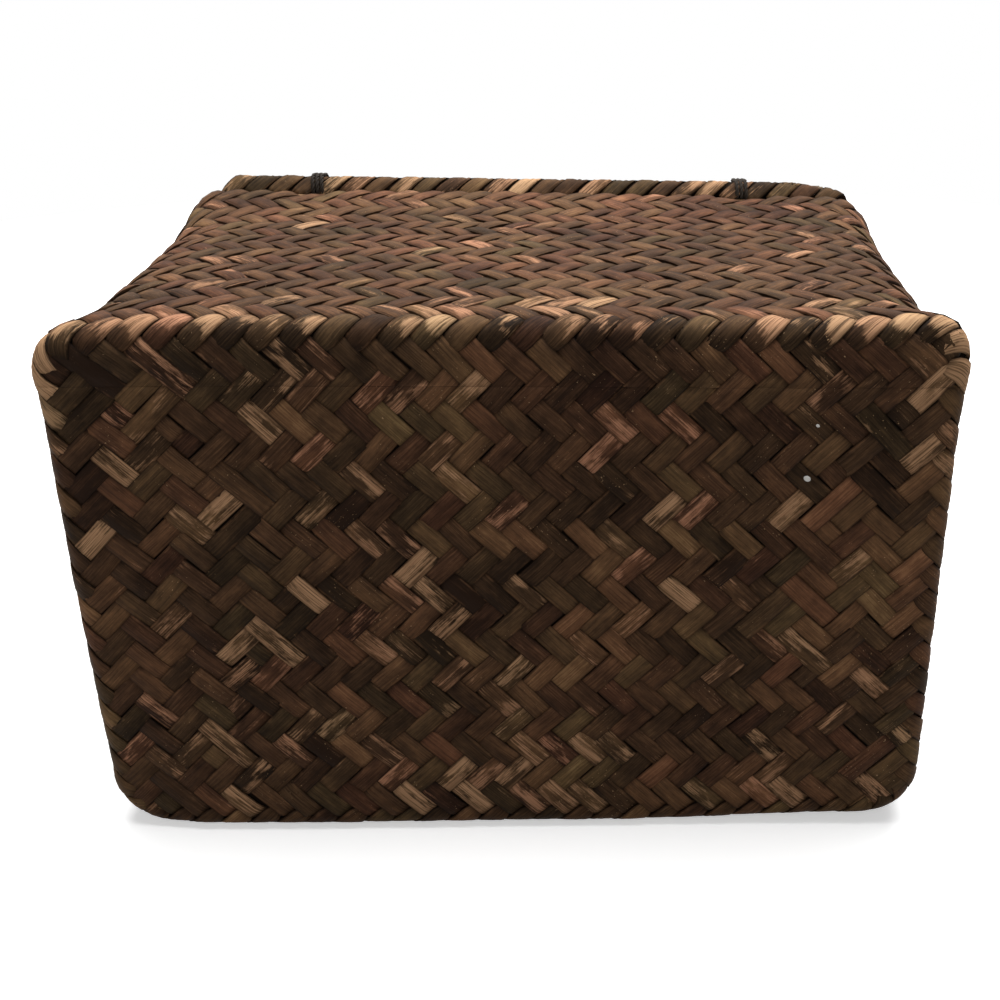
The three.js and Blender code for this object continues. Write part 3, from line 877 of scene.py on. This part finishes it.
seamStrips = weave("lidSeamStrips", shortSlat, floatShape, wallPatch, seamPlaces, leafSkin, "lid")
underSeam = (0, 0, box["seam"] - seam["wallGap"])
keepBeyond(bodyShare(seamStrips, "bodySeamStrips"), underSeam, downward)
behindLid = bodyShare(seamStrips, "bodyShoulderStrips")
keepBeyond(behindLid, underSeam, upward)
keepBeyond(behindLid, (0, lidBack + seam["backGap"], 0), backward)
keepBeyond(seamStrips, (0, 0, box["seam"] + seam["wallGap"]), upward)
keepBeyond(seamStrips, (0, lidBack, 0), forward)
print("walls plaited:", len(lidPlaces), len(sidePlaces), len(seamPlaces))

# the front face, in level rows from the fold down, with upright rows at the left and the right
face = {
    "phase": box["height"] - box["tight"] + box["tight"] * math.pi / 4,
    "edge": 7.5,
    "cornerEdge": 4.5,
    "leftColumns": 80,
    "rightColumns": 62,
    "columnsBelow": 168,
    "columnSlope": 0.6,
    "tone": {"tone": 0.38, "spread": 0.16, "wearShare": 0.13, "wearTop": 0.52},
    "backTone": {"tone": 0.40, "spread": 0.14, "wearShare": 0.08, "wearTop": 0.6},
    "paintedFootLight": 0.05,
    "footUp": (20, 150),
    "paintedRightLight": 0.04,
    "rightAcross": (40, 140),
    "toneShift": -0.015,
    "scuffBelow": 90,
    "scuffShare": 0.1,
    "scuffWear": (0.38, 0.58),
    "tanWear": (0.5, 0.72),
    "pinkWear": (0.45, 0.6),
    "streakWear": 0.45,
    "tanHue": 0.3,
    "pinkHue": 0.95,
    "streakHue": 0.5,
}
# single worn strips of the front: x, z
tanRubs = [
    (-64, 96), (-85, 85), (-94, 79), (-81, 164), (-109, 42), (-139, 115), (-32, 113), (-31, 102), (-9, 102),
    (57, 102), (56, 132), (-10, 171), (-129, 146), (-106, 121), (-94, 128), (-37, 13), (-15, 15), (-24, 23),
    (-97, 13), (24, 30), (25, 8), (101, 71), (100, 133), (139, 168), (138, 150),
]
pinkRubs = [
    (-88, 64), (-138, 35), (41, 105), (66, 128), (42, 163), (62, 163), (36, 152), (-41, 173), (-67, 157)
]
streaks = [(-19, 148), (12, 118), (-52, 122), (73, 61), (-118, 92), (118, 52), (-3, 60), (96, 26)]
# a dark run of strips down the front, from its upper to its lower end
darkRun = {"from": (30, 133), "step": (-35, -32), "count": 6, "look": (0.2, 0.4, 0.05)}


def insideFace(x, z):
    ax, az = abs(x) - flatX, abs(z - halfH) - flatZ / 2
    if ax > 0 and az > 0:
        return math.hypot(ax, az) < box["broad"] - face["cornerEdge"]
    return max(ax, az) < box["broad"] - face["edge"]


def inColumns(x, z):
    reach = face["leftColumns"] if x < 0 else face["rightColumns"]
    return z < face["columnsBelow"] and halfW - abs(x) < reach - face["columnSlope"] * abs(z - halfH)


facePlaces = runsOf(plait["start"], face["phase"], insideFace, inColumns)
faceX, faceZ = facePlaces[:, 0], facePlaces[:, 1]
frontTones = toned(facePlaces, **face["tone"])
# painted light: the front's tone is raised towards its foot and its right side, a gradient of light
paintedFootLight = face["paintedFootLight"] * (1 - ease(faceZ, *face["footUp"]))
paintedRightLight = face["paintedRightLight"] * ease(faceX, *face["rightAcross"])
frontTones[:, toneAt] += paintedFootLight + paintedRightLight + face["toneShift"]
scuffed = (faceZ < face["scuffBelow"]) & (rng.uniform(0, 1, len(facePlaces)) < face["scuffShare"])
frontTones[scuffed, wearAt] = rng.uniform(*face["scuffWear"], scuffed.sum())
rub(frontTones, [(x, z, rng.uniform(*face["tanWear"]), face["tanHue"]) for x, z in tanRubs])
rub(frontTones, [(x, z, rng.uniform(*face["pinkWear"]), face["pinkHue"]) for x, z in pinkRubs])
rub(frontTones, [(x, z, face["streakWear"], face["streakHue"]) for x, z in streaks])
for step in np.linspace(0, 1, darkRun["count"]):
    x, z = np.array(darkRun["from"]) + step * np.array(darkRun["step"])
    frontTones[np.argmin(np.hypot(faceX - x, faceZ - z)), toneAt:] = darkRun["look"]
acrossSeam = np.abs(faceZ - box["seam"]) < seam["front"]
bodyFront = frontTones[(faceZ < box["seam"]) & ~acrossSeam]
weave("bodyFrontStrips", shortSlat, floatShape, frontPatch, bodyFront, leafSkin, "body")
for lean, word in ((1, "Rising"), (-1, "Falling")):
    some = frontTones[acrossSeam & (frontTones[:, 2] == lean)]
    strips = weave("lidFront" + word, shortSlat, floatShape, frontPatch, some, leafSkin, "lid")
    splitAtSeam(strips, "bodyFront" + word)

# two flecks of white that the front carries: place, size
flecks = [((100.5, -101.0, 143.0), (1.3, 0.35, 1.0)), ((103.0, -101.0, 162.0), (0.7, 0.3, 0.5))]
fleckTurn = 0.6
fleckLook = {"scale": (300.0, 300.0, 300.0), "rough": 0.7, "specular": 0.35}
fleckSkin = plainMaterial("white fleck", (0.72, 0.70, 0.66), (0.82, 0.80, 0.77), **fleckLook)
for k, (place, size) in enumerate(flecks):
    pickOnly()
    bpy.ops.mesh.primitive_ico_sphere_add(subdivisions=2, radius=mm, location=[v * mm for v in place])
    fleck = bpy.context.object
    fleck.name = "fleck" + str(k)
    fleck.scale = size
    fleck.rotation_euler = (0, fleckTurn, 0)
    bpy.ops.object.transform_apply(location=True, rotation=True, scale=True)
    followForm(fleck.data)
    fleck.data.materials.append(fleckSkin)
    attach(fleck, "body")

backTones = toned(facePlaces[faceZ < box["topFrom"]], **face["backTone"])
weave("bodyBackStrips", shortSlat, floatShape, backPatch, backTones, leafSkin, "body")
print("front and back plaited:", len(facePlaces), len(backTones))

# loops that lean over the folds round the front and back faces
fold = {
    "tone": {"tone": 0.47, "spread": 0.16, "wearShare": 0.68, "wearTop": 0.82, "hue": 0.35},
    "backTone": {"tone": 0.45, "spread": 0.14, "wearShare": 0.2, "wearTop": 0.7},
    "footBelow": 30,
    "crestShift": -0.03,
    "otherShift": -0.07,
    "crestWear": 0.9,
    "leastWear": 0.35,
    "wearUp": (130, 170),
    "lidCorner": (0.6, 0.25, 0.85),
    "earFrom": 105,
    "earWear": (0.6, 0.85),
}
loopShape = {
    "along": np.linspace(-1.42, 1.42, 11),
    "lift": [-0.7, 0.3, 0.68, 0.82, 0.88, 0.9, 0.88, 0.82, 0.68, 0.3, -0.7],
    "shade": [0.1, 0.5, 0.85, 1, 1, 1, 1, 1, 0.85, 0.5, 0.1],
    "taper": [0.4, 0.78, 0.96, 1, 1, 1, 1, 1, 0.96, 0.78, 0.4],
}
# crest loops: worn tan over the crest and darker down the front; the lighter crest is partly painted light
# from above, the darker lower end partly painted shade
crestShape = {
    **loopShape,
    "tone": [0.45, 0.45, 0.5, 0.55, 0.75, 0.95, 1, 1, 1, 1, 1],
    "wear": [0.0, 0.05, 0.1, 0.25, 0.6, 0.95, 1, 1, 1, 0.9, 0.8],
}
loopPlaces = np.array([(topPhase + i * pitch, plait["rowPhase"], 1, 2) for i in range(plait["count"])])
loopX, loopZ = outlineSpots(loopPlaces)
loopTones = toned(loopPlaces, **fold["tone"])
crest = loopZ > box["topFrom"]
foot = loopZ <= fold["footBelow"]
side = ~crest & ~foot
loopTones[~crest, toneAt] += fold["otherShift"]
loopTones[crest, toneAt] += fold["crestShift"]
fade = ease(loopZ[side], *fold["wearUp"])
loopTones[side, wearAt] *= fold["leastWear"] + (1 - fold["leastWear"]) * fade
loopTones[foot, wearAt] *= fold["leastWear"]
lidCorner = ~crest & (loopZ > box["seam"])
loopTones[lidCorner, toneAt:] = fold["lidCorner"]
loopTones[crest, wearAt] *= fold["crestWear"]
nearEar = crest & (np.abs(loopX) > fold["earFrom"])
loopTones[nearEar, wearAt] = rng.uniform(*fold["earWear"], nearEar.sum())
loopsAcross = np.abs(loopZ - box["seam"]) < seam["loops"]
onLid = loopTones[lidCorner & ~loopsAcross]
onBody = loopTones[(loopZ <= box["seam"]) & ~loopsAcross]
weave("lidFoldLoops", longSlat, crestShape, wallPatch, loopTones[crest], leafSkin, "lid")
weave("lidCornerLoops", longSlat, loopShape, wallPatch, onLid, leafSkin, "lid")
weave("bodyFoldLoops", longSlat, loopShape, wallPatch, onBody, leafSkin, "body")
ends = loopTones[loopsAcross & ~crest]
corners = weave("lidCornerEnds", longSlat, loopShape, wallPatch, ends, leafSkin, "lid")
splitAtSeam(corners, "bodyCornerEnds")
backLoops = loopPlaces[~crest]
backLoops[:, 1] = -plait["rowPhase"]
backLoops = toned(backLoops, **fold["backTone"])
weave("bodyBackFoldLoops", longSlat, loopShape, wallPatch, backLoops, leafSkin, "body")
print("fold loops placed:", len(loopPlaces))

# rims at the hinge: leaning loops over a cane, the lid's one sloping up from its top
rim = {
    "radius": 3.7,
    "lidCore": 3.5,
    "bodyCore": 3.7,
    "half": 130.0,
    "loops": 25,
    "soft": 0.6,
    "droop": 2.2,
    "droopEnd": (114.0, 134.0),
    "coreEnd": 12.0,
    "coreSides": 20,
    "coreEdge": 0.02,
    "tone": {"tone": 0.42, "spread": 0.12, "wearShare": 0.35, "wearTop": 0.6, "hue": 0.4},
    "paleLoop": (0.7, 0.2, 0.95),
    "bodyAngles": (0.2, math.pi + 1.0),
    "bodyPoints": 10,
}
rimShape = {
    "along": np.linspace(-1, 1, 11),
    "lift": [0.0, 0.5, 0.72, 0.8, 0.84, 0.86, 0.84, 0.8, 0.72, 0.5, -0.3],
    "shade": [0.9, 1, 1, 1, 1, 1, 1, 1, 0.95, 0.8, 0.5],
    "taper": [0.85, 0.92, 0.92, 0.9, 0.88, 0.88, 0.88, 0.88, 0.85, 0.75, 0.6],
}
# y and z from the loops' front end, over the cane, to the back end
lidRimProfile = [
    (83.4, 196.7), (85.8, 198.8), (88.0, 201.2), (90.0, 202.5), (91.8, 202.2), (93.4, 200.6), (94.0, 197.6)
]
bodyRimProfile = [
    (box["bodyRoll"][0] - rim["radius"] * math.cos(a), box["bodyRoll"][1] + rim["radius"] * math.sin(a))
    for a in np.linspace(*rim["bodyAngles"], rim["bodyPoints"])
]


class Profile:
    # a row of points that a strip is laid along
    def __init__(self, points, soft):
        self.points = np.array(points)
        self.soft = soft
        steps = np.linalg.norm(np.diff(self.points, axis=0), axis=1)
        self.run = np.concatenate([[0], np.cumsum(steps)])
        self.length = self.run[-1]

    def at(self, a):
        return [np.interp(a, self.run, self.points[:, column]) for column in (0, 1)]

    def direction(self, a):
        ahead, behind = self.at(a + self.soft), self.at(a - self.soft)
        d0, d1 = ahead[0] - behind[0], ahead[1] - behind[1]
        size = np.maximum(np.hypot(d0, d1), tiny)
        return d0 / size, d1 / size


def rimPatch(profile):
    # x along the rim, a along the profile from its front end
    def patch(x, a, h):
        y, z = profile.at(a)
        dy, dz = profile.direction(a)
        turn = np.maximum(np.abs(x) - rim["half"], 0) / box["broad"]
        droop = rim["droop"] * ease(x, *rim["droopEnd"]) + box["broad"] * (1 - np.cos(turn))
        x = np.sign(x) * (np.minimum(np.abs(x), rim["half"]) + box["broad"] * np.sin(turn))
        return x, y - dz * h, z + dy * h - droop

    return patch


def rimLoops(name, points, count, body):
    profile = Profile(points, rim["soft"])
    middle = profile.length / 2
    step = 2 * rim["half"] / rim["loops"]
    places = np.array([(-rim["half"] + (i + 0.5) * step, middle, 1, 2) for i in range(count)])
    tones = toned(places, **rim["tone"])
    tones[rim["loops"] // 2, toneAt:] = rim["paleLoop"]
    shape = {**rimShape, "along": rimShape["along"] * profile.length / math.sqrt(2) / stripWidth}
    return weave(name, longSlat, shape, rimPatch(profile), tones, leafSkin, body)


def rimCore(name, centre, radius):
    pickOnly()
    length = 2 * (rim["half"] - rim["coreEnd"])
    bpy.ops.mesh.primitive_cylinder_add(vertices=rim["coreSides"], radius=radius * mm, depth=length * mm)
    core = bpy.context.object
    core.name = name
    core.rotation_euler = (0, math.pi / 2, 0)
    core.location = (0, centre[0] * mm, centre[1] * mm)
    bpy.ops.object.transform_apply(location=True, rotation=True, scale=True)
    return core


# the lid's core stays straight, since the lid turns about it
lidLoops = rimLoops("lidRimLoops", lidRimProfile, rim["loops"] + 1, "lid")
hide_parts("lid_rim_wrap")
lidCore = rimCore("lidRimLoopsCore", box["lidRoll"], rim["lidCore"])
# painted shade: the core takes the dark under layer finish, seen only between the loops
lidCore.data.materials.append(shadowSkin)
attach(lidCore, "lid")
bodyLoops = rimLoops("bodyRimLoops", bodyRimProfile, rim["loops"], "body")
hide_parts("body_rim_wrap")
bodyCore = rimCore("bodyRimLoopsCore", box["bodyRoll"], rim["bodyCore"])
bodyCore.data = shortEdged(bodyCore.data, rim["coreEdge"])
# painted shade: the core takes the dark under layer finish, seen only between the loops
bodyCore.data.materials.append(shadowSkin)
followForm(bodyCore.data)
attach(bodyCore, "body")
print("rims wrapped")

# twine lashings: three strands laid round each other, three turns round both rims
twine = {
    "ring": 5.5,
    "turns": 3,
    "pitch": 1.9,
    "stepsPerTurn": 44,
    "endGap": 2.0,
    "strands": 3,
    "strandRadius": 0.46,
    "strandGap": 1.05,
    "sides": 6,
    "lay": 6.5,
    "uvUnit": 10.0,
    "head": [(0, -2.2, -4.0), (0, -2.0, -2.0), (0, -1.2, -0.6)],
    "tail": [(0, 1.2, -0.6), (0, 2.0, -2.0), (0, 2.2, -4.0)],
}
knot = {"place": (94.5, 185.6), "wide": 1.75, "deep": 1.5, "high": 0.75, "steps": 60}


def lashingPath(middle):
    front, back = np.array(box["lidRoll"]), np.array(box["bodyRoll"])
    run = np.linalg.norm(back - front)
    along = (back - front) / run
    up = np.array([-along[1], along[0]])
    ring = twine["ring"]
    half = math.pi * ring
    total = 2 * run + 2 * half
    begin = run / 2 + twine["endGap"]
    end = twine["turns"] * total + run / 2 - twine["endGap"]
    points = []
    for d in np.linspace(begin, end, twine["turns"] * twine["stepsPerTurn"]):
        share = (d - begin) / (end - begin)
        d = d % total
        if d < run:
            spot = front - up * ring + along * d
        elif d < run + half:
            a = (d - run) / ring - math.pi / 2
            spot = back + ring * (along * math.cos(a) + up * math.sin(a))
        elif d < 2 * run + half:
            spot = back + up * ring - along * (d - run - half)
        else:
            a = (d - 2 * run - half) / ring + math.pi / 2
            spot = front + ring * (along * math.cos(a) + up * math.sin(a))
        points.append((middle + (share - 0.5) * twine["turns"] * twine["pitch"], spot[0], spot[1]))
    points = np.array(points)
    return np.vstack([points[0] + np.array(twine["head"]), points, points[-1] + np.array(twine["tail"])])


def knotPath(middle):
    # a trefoil, pulled flat
    t = np.linspace(0, 2 * math.pi, knot["steps"])
    x = (2 + np.cos(3 * t)) * np.cos(2 * t) * knot["wide"]
    y = np.sin(3 * t) * knot["deep"]
    z = (2 + np.cos(3 * t)) * np.sin(2 * t) * knot["high"]
    return np.stack([middle + x, knot["place"][0] + y, knot["place"][1] + z], -1)


def laidCord(name, path):
    far = np.concatenate([[0], np.cumsum(np.linalg.norm(np.diff(path, axis=0), axis=1))])
    tangent = np.gradient(path, axis=0)
    tangent /= np.linalg.norm(tangent, axis=1)[:, None]
    side = np.array([1.0, 0, 0]) - tangent * tangent[:, :1]
    side /= np.linalg.norm(side, axis=1)[:, None]
    lift = np.cross(tangent, side)
    points, faces, uv = [], [], []
    sides, r = twine["sides"], twine["strandRadius"]
    for strand in range(twine["strands"]):
        phase = far / twine["lay"] * 2 * math.pi + strand * 2 * math.pi / twine["strands"]
        away = np.cos(phase)[:, None] * side + np.sin(phase)[:, None] * lift
        centre = path + r * twine["strandGap"] * away
        first = len(points)
        for k in range(len(path)):
            for j in range(sides):
                a = j * 2 * math.pi / sides
                points.append(centre[k] + r * (math.cos(a) * side[k] + math.sin(a) * lift[k]))
                uv.append((far[k] / twine["uvUnit"], j / sides))
        for k in range(len(path) - 1):
            for j in range(sides):
                a, b = first + k * sides + j, first + k * sides + (j + 1) % sides
                faces.append((a, b, b + sides, a + sides))
        faces.append(tuple(first + j for j in reversed(range(sides))))
        faces.append(tuple(first + (len(path) - 1) * sides + j for j in range(sides)))
    points = np.array(points)
    points = np.stack(warp(points[:, 0], points[:, 1], points[:, 2]), -1) * mm
    smooth = [True] * len(faces)
    shade, tone = np.ones(len(points)), np.zeros((len(points), 4))
    return makeMesh(name, points, faces, smooth, np.array(uv), shade, tone, twineSkin, "body")


for side, word in ((-1, "left"), (1, "right")):
    lashing = laidCord("lashing_" + word, lashingPath(side * notch["x"]))
    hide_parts("hinge_twine_" + word)
    ties = laidCord("knot_" + word, knotPath(side * notch["x"]))
    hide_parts("hinge_knot_" + word)
print("lashings laid")

# inside: the lining, its floor and the lid's underside
lining = {
    "inset": 3.7,
    "lidInset": 3.5,
    "rows": (9, 168),
    "phase": 5.0,
    "floor": ((-138, 138), (-90, 90)),
    "floorHalf": 128,
    "lid": ((-26, 2 * flatX + 26), (-96, 86)),
    "lashingRoom": 12,
    "lashingFrom": 70,
    "tone": {"tone": 0.55, "spread": 0.12, "wearShare": 0.03, "wearTop": 0.5},
}
liningBend = box["upright"] - lining["inset"]
liningLength = 4 * (halfW + halfD - 2 * box["upright"]) + 2 * math.pi * liningBend


def liningPatch(u, z, h):
    # upright walls, drawn in at the foot of the sides as the box's round lower edges ask
    x, y, nx, ny = planOutline(u, lining["inset"])
    reach = box["broad"] - lining["inset"]
    drop = np.clip(box["broad"] - z, 0, reach)
    pull = reach - np.sqrt(reach**2 - drop**2)
    return x - nx * (h + pull), y - ny * h, z


def floorPatch(x, y, h):
    return x, y, lining["inset"] + h


def lidInsidePatch(p, q, h):
    return wallPatch(p, q, -h, lining["lidInset"])


def onFloor(x, y):
    return abs(x) < lining["floorHalf"]


def clearOfLashing(p, q):
    return q < lining["lashingFrom"] or abs(abs(p - flatX) - notch["x"]) > lining["lashingRoom"]


liningPlaces = toned(rowsOf((0, liningLength - 1), lining["rows"], 0, lining["phase"]), **lining["tone"])
weave("liningStrips", shortSlat, floatShape, liningPatch, liningPlaces, liningSkin, "body")
floorPlaces = toned(rowsOf(*lining["floor"], 0, 0, onFloor), **lining["tone"])
weave("floorStrips", shortSlat, floatShape, floorPatch, floorPlaces, liningSkin, "body")
lidInside = rowsOf(*lining["lid"], topPhase, plait["rowPhase"], clearOfLashing)
lidInside = toned(lidInside, **lining["tone"])
weave("lidInsideStrips", shortSlat, floatShape, lidInsidePatch, lidInside, liningSkin, "lid")

# the neck: strips folded over a splint on each side
neck = {
    "bottom": 167.0,
    "top": 179.4,
    "outer": 4.2,
    "inner": 8.7,
    "soft": 0.8,
    "bendSoft": 0.3,
    "halfX": 137.8,
    "halfY": 87.8,
    "tone": {"tone": 0.5, "spread": 0.12, "wearShare": 0.2, "wearTop": 0.6},
}
# inset and z, up the outside, over the splint and down the inside
neckProfile = Profile(
    [
        (neck["outer"], neck["bottom"]),
        (neck["outer"], neck["top"] - neck["soft"]),
        (neck["outer"] + neck["soft"], neck["top"]),
        (neck["inner"] - neck["soft"], neck["top"]),
        (neck["inner"], neck["top"] - neck["soft"]),
        (neck["inner"], neck["bottom"]),
    ],
    neck["bendSoft"],
)
neckShape = {
    "along": np.linspace(-2.6, 2.6, 17),
    "lift": [-0.02] * 17,
    "shade": [0.5, 0.8] + [1] * 13 + [0.8, 0.5],
}


def neckPatch(turn, across):
    c, s = round(math.cos(turn)), round(math.sin(turn))

    def patch(u, a, h):
        inset, z = neckProfile.at(a)
        di, dz = neckProfile.direction(a)
        y = inset - across - dz * h
        return u * c - y * s, u * s + y * c, z + di * h

    return patch


for word, turn, along, across in (
    ("front", 0.0, neck["halfX"], halfD),
    ("right", math.pi / 2, neck["halfY"], halfW),
    ("back", math.pi, neck["halfX"], halfD),
    ("left", -math.pi / 2, neck["halfY"], halfW),
):
    middle = neckProfile.length / 2
    span = along - middle
    count = round(2 * span / pitch)
    places = np.array([(-span + (i + 0.5) * 2 * span / count, middle, 1, 2) for i in range(count)])
    places = toned(places, **neck["tone"])
    patch = neckPatch(turn, across)
    band = weave("neckLoops_" + word, neckSlat, neckShape, patch, places, liningSkin, "body", asMade)
    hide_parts("neck_band_" + word)
print("inside plaited:", len(liningPlaces), len(floorPlaces), len(lidInside))

# studio: white floor and world, soft light from above, camera at the photo's place
studio = {
    "camera": (32.2, -519.3, 327.1),
    "pitch": 24.8,
    "lens": 49.3,
    "sensor": 36,
    "shift": (-0.1016, 0.003),
    "clipEnd": 50,
    "floorRadius": 1.05,
    "floorSides": 96,
    "floorGlow": 0.45,
    "floorGrey": (0.3, 0.29, 0.28, 1),
    "worldLight": 0.16,
    "worldSeen": 1.0,
    "aim": (0, 0, 0.1),
}
# place in m, size in m, power
lamps = {
    "overhead": ((0.1, 0.42, 1.5), 1.6, 48),
    "frontFill": ((-0.5, -1.6, 0.9), 1.2, 5.5),
}
whiteColour = (1, 1, 1, 1)

pickOnly()
bpy.ops.mesh.primitive_circle_add(
    vertices=studio["floorSides"], radius=studio["floorRadius"], fill_type="NGON"
)
floor = bpy.context.object
floor.name = "floor"
g = Graph(bpy.data.materials.new("floor"))
white = g.node("ShaderNodeBsdfDiffuse", {"Color": whiteColour}).outputs[0]
grey = g.node("ShaderNodeBsdfDiffuse", {"Color": studio["floorGrey"]}).outputs[0]
glow = g.node("ShaderNodeEmission", {"Color": whiteColour, "Strength": studio["floorGlow"]}).outputs[0]
lit = g.node("ShaderNodeAddShader", {0: white, 1: glow}).outputs[0]
both = g.node("ShaderNodeMixShader", {0: g.seenRay(), 1: grey, 2: lit}).outputs[0]
g.node("ShaderNodeOutputMaterial", {0: both})
floor.data.materials.append(g.holder)

world = bpy.data.worlds.new("studio")
bpy.context.scene.world = world
g = Graph(world)
near = g.node("ShaderNodeBackground", {"Color": whiteColour, "Strength": studio["worldLight"]}).outputs[0]
seen = g.node("ShaderNodeBackground", {"Color": whiteColour, "Strength": studio["worldSeen"]}).outputs[0]
both = g.node("ShaderNodeMixShader", {0: g.seenRay(), 1: near, 2: seen}).outputs[0]
g.node("ShaderNodeOutputWorld", {0: both})

for name, (place, size, power) in lamps.items():
    bpy.ops.object.light_add(type="AREA", location=place)
    lamp = bpy.context.object
    lamp.name = name
    lamp.data.shape = "SQUARE"
    lamp.data.size = size
    lamp.data.energy = power
    aim = Vector(studio["aim"]) - Vector(place)
    lamp.rotation_euler = aim.to_track_quat("-Z", "Y").to_euler()

tilt = math.radians(90 - studio["pitch"])
bpy.ops.object.camera_add(location=[v * mm for v in studio["camera"]], rotation=(tilt, 0, 0))
camera = bpy.context.object
camera.data.lens = studio["lens"]
camera.data.sensor_width = studio["sensor"]
camera.data.shift_x, camera.data.shift_y = studio["shift"]
camera.data.clip_end = studio["clipEnd"]
bpy.context.scene.camera = camera
bpy.context.scene.view_settings.view_transform = "Standard"
